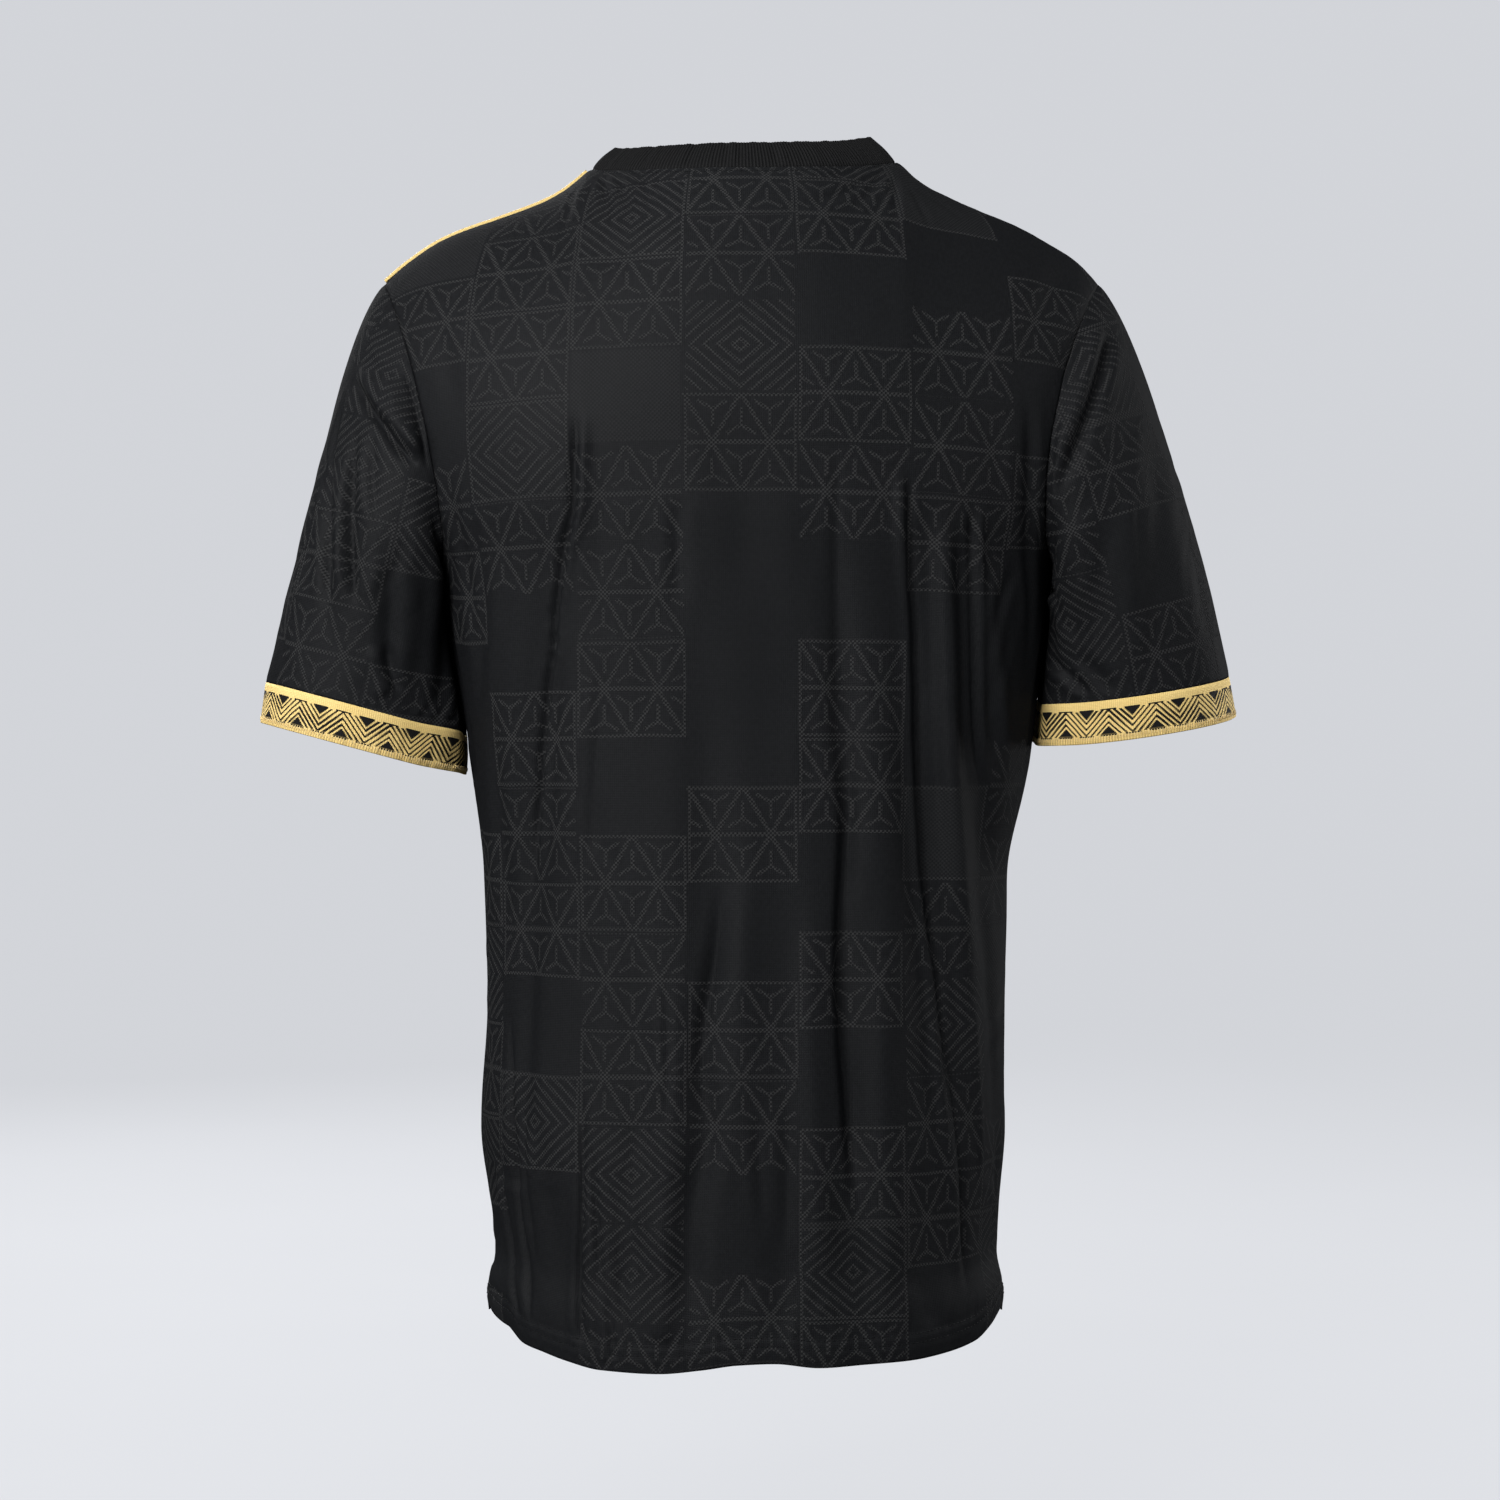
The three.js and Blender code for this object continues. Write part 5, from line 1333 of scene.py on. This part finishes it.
# ------------------------------------------------------------------ threads
def stitch_mesh(name, spots):
    """spots: (point, along, normal, length, radius). Each stitch is a small rounded bar, sunk at both ends."""
    rings_x = np.array([-1, -0.72, 0, 0.72, 1])
    rings_r = np.array([0.25, 0.85, 1.0, 0.85, 0.25])
    rings_h = np.array([-0.9, -0.1, 0.25, -0.1, -0.9])
    ang = np.linspace(0, 2 * np.pi, 7)[:-1]
    verts, faces = [], []
    k0 = 0
    template = []
    for j in range(4):
        for i in range(6):
            template.append([j * 6 + i, j * 6 + (i + 1) % 6, (j + 1) * 6 + (i + 1) % 6, (j + 1) * 6 + i])
    template.append([5, 4, 3, 2, 1, 0])
    template.append([24, 25, 26, 27, 28, 29])
    for p, t, nn, length, radius in spots:
        side_dir = np.cross(nn, t)
        for x, rr, h in zip(rings_x, rings_r, rings_h):
            c = p + t * (x * length / 2) + nn * (h * radius)
            verts.append(
                c
                + radius * rr * (np.cos(ang)[:, None] * side_dir + 0.8 * np.sin(ang)[:, None] * nn)
            )
        faces.extend([[k0 + v for v in face] for face in template])
        k0 += 30
    verts = np.concatenate(verts)
    q = np.array([face[:4] for face in faces[:24]])
    v = verts
    a, b_, c = v[q[:, 0]], v[q[:, 1]], v[q[:, 2]]
    centre = verts[:30].mean(0)
    if (np.cross(b_ - a, c - a) * (a - centre)).sum() < 0:
        faces = [face[::-1] for face in faces]
    return link(name, verts, faces)


def run_stitches(line, normals, length, gap, radius, lift=0.15, slant=0.0, seed=0):
    """Stitches along a line of points."""
    rng = np.random.default_rng(seed)
    s = np.r_[0, np.cumsum(np.linalg.norm(np.diff(line, axis=0), axis=1))]
    count = int(s[-1] / (length + gap))
    at = (np.arange(count) + 0.5) * s[-1] / count
    p = np.stack([np.interp(at, s, line[:, c]) for c in range(3)], -1)
    ahead = np.stack([np.interp(at + 0.5, s, line[:, c]) for c in range(3)], -1)
    behind = np.stack([np.interp(at - 0.5, s, line[:, c]) for c in range(3)], -1)
    nn = unit(np.stack([np.interp(at, s, normals[:, c]) for c in range(3)], -1))
    t = unit(ahead - behind)
    t = unit(t - (t * nn).sum(-1, keepdims=True) * nn)
    if slant:
        t = unit(t + np.cross(nn, t) * slant)
    spots = []
    for k in range(count):
        spots.append((p[k] + nn[k] * lift, t[k], nn[k], length * rng.uniform(0.94, 1.04), radius))
    return spots


def panel_line(piece, distance, edge="hem"):
    """The line at a distance above the hem, or below the neck or shoulder, over the displaced cloth."""
    p = piece.p
    along = arc(p, 0)
    if edge != "hem":
        along = along[-1:] - along
    line, normals = [], []
    for i in range(p.shape[1]):
        a = along[:, i]
        order = np.argsort(a)
        line.append([np.interp(distance, a[order], p[order, i, c]) for c in range(3)])
        normals.append([np.interp(distance, a[order], piece.shade[order, i, c]) for c in range(3)])
    return np.array(line), unit(np.array(normals))


hem_spots = []
for h, seed in ((15.6, 1), (10.2, 2)):
    for piece in (back, front):
        line, normals = panel_line(piece, h)
        hem_spots += run_stitches(line[1:-1], normals[1:-1], 2.3, 0.75, 0.26, seed=seed)
objects["hem_stitches"] = stitch_mesh("hem_stitching", hem_spots)

neck_spots = []
for piece in (back, front):
    line, normals = panel_line(piece, 3.4, "neck")
    ok = (II >= ON_SHOULDER + 0.15) & (II <= ON_SHOULDER + ON_NECK - 0.15)
    neck_spots += run_stitches(line[ok], normals[ok], 2.3, 0.75, 0.24, seed=3)
objects["neck_stitches"] = stitch_mesh("neck_stitching", neck_spots)

tick_spots = []
for name, band in bands.items():
    rows, n = band["rows"], band["n"]
    along = arc(rows, 0)
    for back_off in (2.4,):
        line = np.stack(
            [
                [np.interp(along[-1, i] - back_off, along[:, i], rows[:, i, c]) for c in range(3)]
                for i in range(rows.shape[1])
            ]
        )
        down = unit(rows[-1] - rows[-3])
        closed = np.concatenate([line, line[:1]])
        s = np.r_[0, np.cumsum(np.linalg.norm(np.diff(closed, axis=0), axis=1))]
        count = int(s[-1] / 1.75)
        at = (np.arange(count) + 0.5) * s[-1] / count
        pick = lambda v: np.stack([np.interp(at, s, np.r_[v[:, c], v[0, c]]) for c in range(3)], -1)
        pp, nn, dd = pick(line), unit(pick(n[-1])), unit(pick(down))
        for k in range(count):
            tick_spots.append((pp[k] + nn[k] * 0.16, dd[k], nn[k], 3.0, 0.3))
objects["band_stitches"] = stitch_mesh("band_edge_stitching", tick_spots)


# ------------------------------------------------------------------ shoulder tapes
def tape(name, side_cols, forward, lift, arm, neckward, proud):
    """A narrow woven tape along the shoulder: its middle lies `forward` of the shoulder line."""
    ii = np.linspace(*side_cols, 121)
    n_span = np.linspace(0, 1, 121)
    width = 7.0
    grid = {}
    for side in ("back", "front"):
        jj = np.linspace(ROWS - 3.2, ROWS, 60)
        p = panel_grid(side, np.sort(ii), jj)
        if ii[0] > ii[-1]:
            p = p[:, ::-1]
        grid[side] = p
    nrm = {}
    for side, p in grid.items():
        n = surface_normals(p)
        if (n * (p - np.array([0, 0, -380]))).sum() < 0:
            n = -n
        nrm[side] = n
    rows_out, rows_n = [], []
    for f in np.linspace(-0.5, 0.5, 17) * width + forward:
        side = "front" if f > 0 else "back"
        p, n = grid[side], nrm[side]
        along = arc(p[::-1], 0)
        line, normals = [], []
        for i in range(p.shape[1]):
            a = along[:, i]
            line.append([np.interp(abs(f), a, p[::-1][:, i, c]) for c in range(3)])
            normals.append([np.interp(abs(f), a, n[::-1][:, i, c]) for c in range(3)])
        rows_out.append(line)
        rows_n.append(normals)
    p, n = np.array(rows_out), unit(np.array(rows_n))
    # smooth the normals over the shoulder line
    for _ in range(2):
        n[1:-1] = unit(n[:-2] + n[1:-1] + n[2:])
    # leave the ends bare
    s = arc(p, 1)
    s = s / s[:, -1:]
    lo, hi = arm / ON_SHOULDER, 1 - neckward / ON_SHOULDER
    keep = np.linspace(lo, hi, 101)
    q = np.empty((p.shape[0], 101, 3))
    m = np.empty_like(q)
    for k in range(p.shape[0]):
        for c in range(3):
            q[k, :, c] = np.interp(keep, s[k], p[k, :, c])
            m[k, :, c] = np.interp(keep, s[k], n[k, :, c])
    m = unit(m)
    # two rounded strips side by side, sewn down between them and at the edges
    e = np.linspace(-1, 1, q.shape[0])
    strips = np.sqrt(np.clip(1 - ((np.abs(e) - 0.5) / 0.5) ** 2, 0, 1))
    q = q + m * (lift + 0.45 + proud * strips)[:, None, None]
    uv = np.stack([arc(q, 1), arc(q, 0)], -1)
    return q, m, shell(name, q, m, 0.6, False, uv)


tape_data = {}
for name, cols, forward, lift in (("left", (0, ON_SHOULDER), 0.5, 0.5), ("right", (COLS, COLS - ON_SHOULDER), 9, 0.8)):
    q, m, obj = tape("shoulder_tape_cloth_" + name, cols, forward, lift, 0.1, 0.16, 1.35 if name == "left" else 0.9)
    tape_data[name] = (q, m)
    objects["tape_" + name] = obj
tape_spots = []
for name, (q, m) in tape_data.items():
    for k in (1, q.shape[0] // 2, -2):
        tape_spots += run_stitches(q[k], m[k], 2.0, 0.7, 0.2, lift=0.05, seed=7)
objects["tape_stitches"] = stitch_mesh("tape_stitching", tape_spots)


# ------------------------------------------------------------------ materials
class V:
    """A number in a node tree, with arithmetic."""

    def __init__(self, graph, socket):
        self.g, self.s = graph, socket

    def op(self, name, *others, clamp=False):
        node = self.g.nt.nodes.new("ShaderNodeMath")
        node.operation = name
        node.use_clamp = clamp
        for k, value in enumerate((self,) + others):
            if isinstance(value, V):
                self.g.nt.links.new(value.s, node.inputs[k])
            else:
                node.inputs[k].default_value = value
        return V(self.g, node.outputs[0])

    def __add__(self, o):
        return self.op("ADD", o)

    __radd__ = __add__

    def __sub__(self, o):
        return self.op("SUBTRACT", o)

    def __rsub__(self, o):
        return (self * -1) + o

    def __mul__(self, o):
        return self.op("MULTIPLY", o)

    __rmul__ = __mul__

    def __truediv__(self, o):
        return self.op("DIVIDE", o)

    def frac(self):
        return self.op("FRACT")

    def floor(self):
        return self.op("FLOOR")

    def abs(self):
        return self.op("ABSOLUTE")

    def sin(self):
        return self.op("SINE")

    def cos(self):
        return self.op("COSINE")

    def maximum(self, o):
        return self.op("MAXIMUM", o)

    def minimum(self, o):
        return self.op("MINIMUM", o)

    def power(self, o):
        return self.op("POWER", o)

    def below(self, edge, soft):
        """1 under the edge and 0 over it, over a width of 2 soft."""
        return self.step(edge, soft, 1.0, 0.0)

    def above(self, edge, soft):
        return self.step(edge, soft, 0.0, 1.0)

    def step(self, edge, soft, before, after):
        node = self.g.nt.nodes.new("ShaderNodeMapRange")
        node.interpolation_type = "SMOOTHSTEP"
        self.g.nt.links.new(self.s, node.inputs["Value"])
        node.inputs["From Min"].default_value = edge - soft
        node.inputs["From Max"].default_value = edge + soft
        node.inputs["To Min"].default_value = before
        node.inputs["To Max"].default_value = after
        return V(self.g, node.outputs[0])


class Graph:
    def __init__(self, name, **sockets):
        self.mat = bpy.data.materials.new(name)
        self.mat.use_nodes = True
        self.nt = self.mat.node_tree
        self.nt.nodes.clear()
        self.out = self.nt.nodes.new("ShaderNodeOutputMaterial")
        self.bsdf = self.nt.nodes.new("ShaderNodeBsdfPrincipled")
        self.nt.links.new(self.bsdf.outputs[0], self.out.inputs[0])
        for key, value in sockets.items():
            self.bsdf.inputs[key.replace("_", " ")].default_value = value

    def cut(self):
        """Across and along the flat cloth, in mm."""
        node = self.nt.nodes.new("ShaderNodeUVMap")
        node.uv_map = "Cut"
        split = self.nt.nodes.new("ShaderNodeSeparateXYZ")
        self.nt.links.new(node.outputs[0], split.inputs[0])
        return V(self, split.outputs[0]) * 1000.0, V(self, split.outputs[1]) * 1000.0

    def noise(self, u, v, scale, detail=2.0, seed=0.0):
        join_node = self.nt.nodes.new("ShaderNodeCombineXYZ")
        for k, value in enumerate((u, v)):
            self.nt.links.new(value.s, join_node.inputs[k])
        join_node.inputs[2].default_value = seed
        node = self.nt.nodes.new("ShaderNodeTexNoise")
        node.inputs["Scale"].default_value = scale
        node.inputs["Detail"].default_value = detail
        self.nt.links.new(join_node.outputs[0], node.inputs["Vector"])
        return V(self, node.outputs["Fac"])

    def hash(self, a, b_, seed):
        """A number from 0 to 1 that is the same all over one block."""
        join_node = self.nt.nodes.new("ShaderNodeCombineXYZ")
        for k, value in enumerate((a, b_)):
            self.nt.links.new(value.s, join_node.inputs[k])
        join_node.inputs[2].default_value = seed
        node = self.nt.nodes.new("ShaderNodeTexWhiteNoise")
        node.noise_dimensions = "3D"
        self.nt.links.new(join_node.outputs[0], node.inputs["Vector"])
        return V(self, node.outputs["Value"])

    def mix(self, factor, a, b_):
        node = self.nt.nodes.new("ShaderNodeMix")
        node.data_type = "RGBA"
        self.nt.links.new(factor.s, node.inputs[0])
        for socket, value in ((node.inputs[6], a), (node.inputs[7], b_)):
            if isinstance(value, tuple):
                socket.default_value = (*value, 1)
            else:
                self.nt.links.new(value, socket)
        return node.outputs[2]

    def set(self, name, value):
        self.nt.links.new(value.s if isinstance(value, V) else value, self.bsdf.inputs[name])

    def bump(self, height, distance, strength=1.0, coat=False):
        node = self.nt.nodes.new("ShaderNodeBump")
        node.inputs["Distance"].default_value = distance
        node.inputs["Strength"].default_value = strength
        self.nt.links.new(height.s, node.inputs["Height"])
        self.nt.links.new(node.outputs[0], self.bsdf.inputs["Normal"])
        if coat:
            self.nt.links.new(node.outputs[0], self.bsdf.inputs["Coat Normal"])


def knit(g, u, v, pitch):
    """Rows of small knitted loops, 0 to 1."""
    wale = (u * (2 * math.pi / pitch)).sin()
    course = (v * (2 * math.pi / (pitch * 0.8)) + wale.abs() * 1.6).sin()
    return (wale * 0.5 + course * 0.5) * 0.5 + 0.5


def jacquard():
    """Tone on tone: blocks of a hemp-leaf lattice, of nested diamonds and of plain mesh, some left smooth."""
    g = Graph(
        "jacquard_knit",
        Sheen_Weight=0.0,
        Specular_IOR_Level=0.0,
        Coat_IOR=2.5,
        Coat_Roughness=0.57,
    )
    u, v = g.cut()
    # threads waver a little
    u2 = u + (g.noise(u, v, 0.035, 1.0, 4.0) - 0.5) * 2.0
    v2 = v + (g.noise(u, v, 0.03, 1.0, 9.0) - 0.5) * 2.0
    # the design is knitted, so its edges go in small steps
    q = 0.875
    u2 = (u2 / q).floor() * q + q / 2
    v2 = (v2 / q).floor() * q + q / 2
    W, H = 66.0, 57.158  # one block holds whole repeats of the lattice
    iu = (u2 / W + 0.5).floor()
    x = u2 - iu * W
    shift = (iu * 0.5).frac() * H
    iv = ((v2 + shift) / H).floor()
    y = v2 + shift - (iv + 0.5) * H
    which, other = g.hash(iu, iv, 11.0), g.hash(iu, iv, 12.0)

    # hemp leaf: a lattice of triangles, each with lines from its middle to its corners
    a_ = 33.0
    h_ = a_ * math.sqrt(3) / 2
    r3 = math.sqrt(3) / 2
    yy = y + H / 2
    lattice = None
    for nx, ny in ((0.0, 1.0), (r3, 0.5), (-r3, 0.5)):
        across = x * nx + yy * ny
        along_ = x * ny - yy * nx
        edge_d = ((across / h_ + 0.5).frac() - 0.5).abs() * h_
        ray_d = ((along_ / (a_ / 2) + 0.5).frac() - 0.5).abs() * (a_ / 2)
        edge_l = edge_d.below(1.35, 0.2)
        ray_l = ray_d.below(1.05, 0.2) * edge_d.above(h_ / 3 - 0.4, 0.2)
        both = edge_l.maximum(ray_l)
        lattice = both if lattice is None else lattice.maximum(both)

    # nested diamonds
    size = x.abs() / (W / 2) + y.abs() / (H / 2)
    rings = (((size / 0.25).frac() - 0.5).abs() * 0.25).below(0.05, 0.012)

    is_leaf = which.below(0.50, 0.001)
    is_ring = which.above(0.50, 0.001) * which.below(0.62, 0.001)
    is_mesh = which.above(0.62, 0.001) * which.below(0.76, 0.001)
    inside = x.abs().below(W / 2 - 1.4, 0.2) * y.abs().below(H / 2 - 1.2, 0.2)
    motif = (lattice * is_leaf + rings * is_ring + is_mesh * 0.35) * inside
    # a thin frame round some of the blocks
    frame_line = (x.abs() - (W / 2 - 1.3)).abs().below(0.9, 0.2).maximum((y.abs() - (H / 2 - 1.3)).abs().below(0.9, 0.2))
    motif = motif.maximum(frame_line * (is_leaf + is_ring + is_mesh) * other.above(0.35, 0.001))
    # mesh stitch: dots in a checker
    mesh = (u * (2 * math.pi / 2.475)).sin() * (v * (2 * math.pi / 2.475)).sin() * 0.5 + 0.5
    mesh = mesh.above(0.5, 0.25)
    fine = knit(g, u, v, 1.25)
    grain = g.noise(u, v * 0.6, 0.55, 4.0, 13.0)
    streak = g.noise(u, v * 0.05, 1.1, 3.0, 2.0)
    cloud = g.noise(u, v, 0.012, 2.0, 7.0)
    raised = motif * (mesh * 0.86 + 0.14)
    ground = g.mix(streak, (0.0050, 0.0054, 0.0062), (0.0084, 0.0089, 0.0099))
    # painted shade: the ground follows the knit's height, lighter on the knitted loops and darker between them
    ground = g.mix(fine * 0.55, ground, (0.0125, 0.0131, 0.0142))
    ground = g.mix(grain.above(0.5, 0.2) * 0.4, ground, (0.0030, 0.0032, 0.0037))
    shade = g.mix(raised, ground, (0.0315, 0.0318, 0.0322))
    g.set("Base Color", g.mix(cloud.above(0.5, 0.35) * 0.25, shade, (0.0050, 0.0053, 0.0060)))
    g.set("Roughness", 0.5 + motif * 0.22 + fine * 0.08 + cloud * 0.06)
    g.set("Coat Weight", 0.033 - motif * 0.021 - streak * 0.010 + grain * 0.006)
    g.bump(raised * 0.75 + fine * 0.25 + grain * 0.3, 0.00045, 0.8, coat=True)
    return g.mat


def rib_material():
    g = Graph("rib_knit", Specular_IOR_Level=0.0, Coat_Weight=0.006, Coat_IOR=2.5, Coat_Roughness=0.6)
    u, v = g.cut()
    pitch = neck_length / RIBS
    rib = (u * (2 * math.pi / pitch)).sin() * 0.5 + 0.5
    loops = (v * (2 * math.pi / 0.9) + (u * (2 * math.pi / pitch)).cos() * 1.5).sin() * 0.5 + 0.5
    fuzz = g.noise(u, v, 1.6, 3.0, 5.0)
    height = rib * 0.8 + loops * 0.2
    # painted shade: the colour follows the rib's height, darker in the hollows between the wales and lighter on the
    # wales
    colour = g.mix(height, (0.0048, 0.0049, 0.0052), (0.0140, 0.0140, 0.0143))
    g.set("Base Color", g.mix(fuzz.above(0.5, 0.3) * 0.3, colour, (0.019, 0.019, 0.0192)))
    g.set("Roughness", 0.78 + fuzz * 0.15)
    g.bump(height + fuzz * 0.15, 0.0006, 0.8)
    return g.mat


def gold_cloth(g, u, v, pitch=1.3):
    wale = (u * (2 * math.pi / pitch)).sin() * 0.5 + 0.5
    course = (v * (2 * math.pi / (pitch * 0.7)) + wale * 1.5).sin() * 0.5 + 0.5
    fuzz = g.noise(u, v, 0.9, 3.0, 8.0)
    patch = g.noise(u, v, 0.05, 2.0, 6.0)
    # painted shade: the gold follows the knit's height, darker between the knitted loops and lighter on them
    colour = g.mix(wale * 0.55 + course * 0.45, (0.60, 0.415, 0.135), (0.86, 0.645, 0.255))
    colour = g.mix(patch.above(0.5, 0.3) * 0.35, colour, (0.88, 0.68, 0.30))
    colour = g.mix(fuzz.above(0.62, 0.15) * 0.25, colour, (0.46, 0.31, 0.11))
    return colour, wale * 0.5 + course * 0.5, fuzz


def gold_band():
    """Gold ground, plain at both edges, with a black zigzag of parallel lines and filled triangles between."""
    g = Graph("gold_band", Sheen_Weight=0.0, Specular_IOR_Level=0.04)
    u, v = g.cut()
    colour, height, fuzz = gold_cloth(g, u, v)
    # the design is knitted, so its edges go in small steps
    q = 0.72
    us = (u / q).floor() * q + q / 2
    vs = (v / q).floor() * q + q / 2
    P, MID, TALL = 29.0, 13.2, 7.4
    vm = (vs - MID) / TALL
    tri = ((us / P).frac() * 2.0 - 1.0).abs() * 2.0 - 1.0
    s_ = (vm - tri).abs()
    lines = ((s_ / 0.5 + 0.5).frac() - 0.5).abs().below(0.24, 0.02) * s_.below(1.14, 0.02)
    solid = s_.above(1.3, 0.02)
    inside = vm.abs().below(1.0, 0.02)
    rule = (vm.abs() - 1.07).abs().below(0.055, 0.02) * ((us / P * 2.0).frac() - 0.5).abs().above(0.17, 0.01)
    dark = ((lines.maximum(solid)) * inside).maximum(rule)
    # inside of the band there is no design
    front_face = v.below(25.6, 0.2)
    dark = dark * front_face
    # shadow between the stitches of the lower edge
    ladder = (u / 1.75).frac().above(0.62, 0.1) * v.above(21.6, 0.2) * front_face
    colour = g.mix(ladder * 0.55, colour, (0.30, 0.19, 0.06))
    g.set("Base Color", g.mix(dark, colour, (0.011, 0.0105, 0.010)))
    g.set("Roughness", 0.52 + fuzz * 0.2 + dark * 0.1)
    g.bump(height * 0.6 - dark * 0.4 + fuzz * 0.2, 0.0005, 0.8)
    return g.mat


def gold_tape_material():
    g = Graph("gold_tape", Sheen_Weight=0.0, Specular_IOR_Level=0.2)
    u, v = g.cut()
    colour, height, fuzz = gold_cloth(g, u, v, 1.1)
    twill = ((u + v) * (2 * math.pi / 1.6)).sin() * 0.5 + 0.5
    g.set("Base Color", g.mix(twill * 0.35, colour, (0.50, 0.34, 0.12)))
    g.set("Roughness", 0.5 + fuzz * 0.2)
    g.bump(height * 0.5 + twill * 0.5, 0.0004, 0.8)
    return g.mat


def thread(name, dark, light, rough=0.5, shine=0.4):
    g = Graph(name, Sheen_Weight=0.0, Specular_IOR_Level=shine)
    node = g.nt.nodes.new("ShaderNodeTexCoord")
    wave = g.nt.nodes.new("ShaderNodeTexWave")
    wave.bands_direction = "DIAGONAL"
    wave.inputs["Scale"].default_value = 900.0
    wave.inputs["Distortion"].default_value = 2.0
    g.nt.links.new(node.outputs["Object"], wave.inputs["Vector"])
    f_ = V(g, wave.outputs["Fac"])
    g.set("Base Color", g.mix(f_, dark, light))
    g.set("Roughness", rough + f_ * 0.15)
    g.bump(f_, 0.0001, 0.5)
    return g.mat


MAT = {
    "jacquard": jacquard(),
    "rib": rib_material(),
    "gold_band": gold_band(),
    "gold_tape": gold_tape_material(),
    "black_thread": thread("black_thread", (0.005, 0.0053, 0.006), (0.013, 0.0134, 0.0145), shine=0.06),
    "gold_thread": thread("gold_thread", (0.52, 0.36, 0.13), (0.86, 0.68, 0.34)),
}
finish = {
    "back": "jacquard",
    "front": "jacquard",
    "sleeve_left": "jacquard",
    "sleeve_right": "jacquard",
    "neckband": "rib",
    "band_left": "gold_band",
    "band_right": "gold_band",
    "tape_left": "gold_tape",
    "tape_right": "gold_tape",
    "hem_stitches": "black_thread",
    "neck_stitches": "black_thread",
    "band_stitches": "gold_thread",
    "tape_stitches": "gold_thread",
}
for key, obj in objects.items():
    obj.data.materials.append(MAT[finish[key]])

# ------------------------------------------------------------------ what each piece stands for
NODE = {
    "back": "back_panel",
    "front": "front_panel",
    "sleeve_left": "sleeve_left",
    "sleeve_right": "sleeve_right",
    "neckband": "neckband",
    "band_left": "sleeve_band_left",
    "band_right": "sleeve_band_right",
    "tape_left": "shoulder_tape_left",
    "tape_right": "shoulder_tape_right",
}
for key, obj in objects.items():
    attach(obj, "root")
    if key in NODE:
        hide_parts(NODE[key])

# ------------------------------------------------------------------ the room
def area_light(name, where, aim, size, power, colour=(1, 1, 1)):
    data = bpy.data.lights.new(name, "AREA")
    data.shape = "RECTANGLE"
    data.size, data.size_y = size
    data.energy = power
    data.color = colour
    obj = bpy.data.objects.new(name, data)
    obj.location = where
    d = np.array(aim, float) - np.array(where, float)
    obj.rotation_euler = (
        math.pi / 2 + math.atan2(d[2], math.hypot(d[0], d[1])),
        0,
        math.atan2(d[1], d[0]) - math.pi / 2,
    )
    scene.collection.objects.link(obj)
    return obj


area_light("key", (1.12, 1.88, 0.62), (0, 0, -0.2), (1.25, 1.15), 68)
area_light("fill", (-1.9, 1.4, 0.3), (0, 0, -0.35), (1.4, 1.4), 14)
area_light("side", (2.0, 0.5, 0.2), (0, 0, -0.3), (0.8, 1.6), 12)
area_light("top", (0.2, 0.1, 1.9), (0, 0, -0.3), (1.6, 1.2), 11)
area_light("other", (-1.9, -1.0, 0.1), (0, 0, -0.36), (1.0, 1.4), 40)
area_light("far", (0.9, -1.95, 0.8), (0, 0, -0.36), (1.4, 1.3), 100)


def room():
    """A pale floor that curves up into a round backdrop, so that every side has one behind it."""
    radius, rise, floor = 5.0, 1.6, -0.86
    profile = [(0.0, floor), (1.5, floor), (radius - rise, floor)]
    for k in range(1, 13):
        a = math.pi / 2 * k / 12
        profile.append((radius - rise + rise * math.sin(a), floor + rise * (1 - math.cos(a))))
    profile.append((radius, 4.5))
    count = 96
    verts, faces = [], []
    for rr, zz in profile:
        for k in range(count):
            a = 2 * math.pi * k / count
            verts.append((rr * math.cos(a) * 1000, rr * math.sin(a) * 1000, zz * 1000))
    for j in range(1, len(profile) - 1):
        for k in range(count):
            k2 = (k + 1) % count
            faces.append([j * count + k, (j + 1) * count + k, (j + 1) * count + k2, j * count + k2])
    faces.append([count + k for k in range(count)])
    verts = verts[count:]
    faces = [[v - count for v in face] for face in faces]
    return link("room", verts, faces)


backdrop = room()
# the pale room shows, but doesn't throw its light back on the cloth
backdrop.visible_diffuse = False
backdrop.visible_glossy = False
backdrop.visible_shadow = False
g = Graph("pale_room", Specular_IOR_Level=0.1, Roughness=0.9)
coords = g.nt.nodes.new("ShaderNodeTexCoord")
noise = g.nt.nodes.new("ShaderNodeTexNoise")
noise.inputs["Scale"].default_value = 3.0
g.nt.links.new(coords.outputs["Object"], noise.inputs["Vector"])
g.set("Base Color", g.mix(V(g, noise.outputs["Fac"]), (0.04, 0.0405, 0.0415), (0.047, 0.0475, 0.049)))
g.bsdf.inputs["Emission Color"].default_value = (0.93, 0.95, 1.0, 1)
g.bsdf.inputs["Emission Strength"].default_value = 0.68
backdrop.data.materials.append(g.mat)

world = bpy.data.worlds.new("world")
world.use_nodes = True
world.node_tree.nodes["Background"].inputs[0].default_value = (0.9, 0.93, 1.0, 1)
world.node_tree.nodes["Background"].inputs[1].default_value = 0.16
scene.world = world
scene.view_settings.view_transform = "Standard"

total = 0
for key, obj in objects.items():
    tris = sum(len(p.vertices) - 2 for p in obj.data.polygons)
    total += tris
    m = obj.data
print("TRIANGLES", total)
for side, piece in panels.items():
    uv = piece.uv
    print("FLAT", side, np.ptp(uv[..., 0]).round(1), np.ptp(uv[..., 1]).round(1))
for name, piece in sleeves.items():
    uv = piece.uv
    print("FLAT sleeve", name, np.ptp(uv[..., 0]).round(1), np.ptp(uv[..., 1]).round(1))
print("FLAT neck", neck_length, width.mean(), "bands", {k: b_["full"] for k, b_ in bands.items()})
for name, (q, m) in tape_data.items():
    print("FLAT tape", name, arc(q, 1)[8, -1], arc(q, 0)[-1, 50])
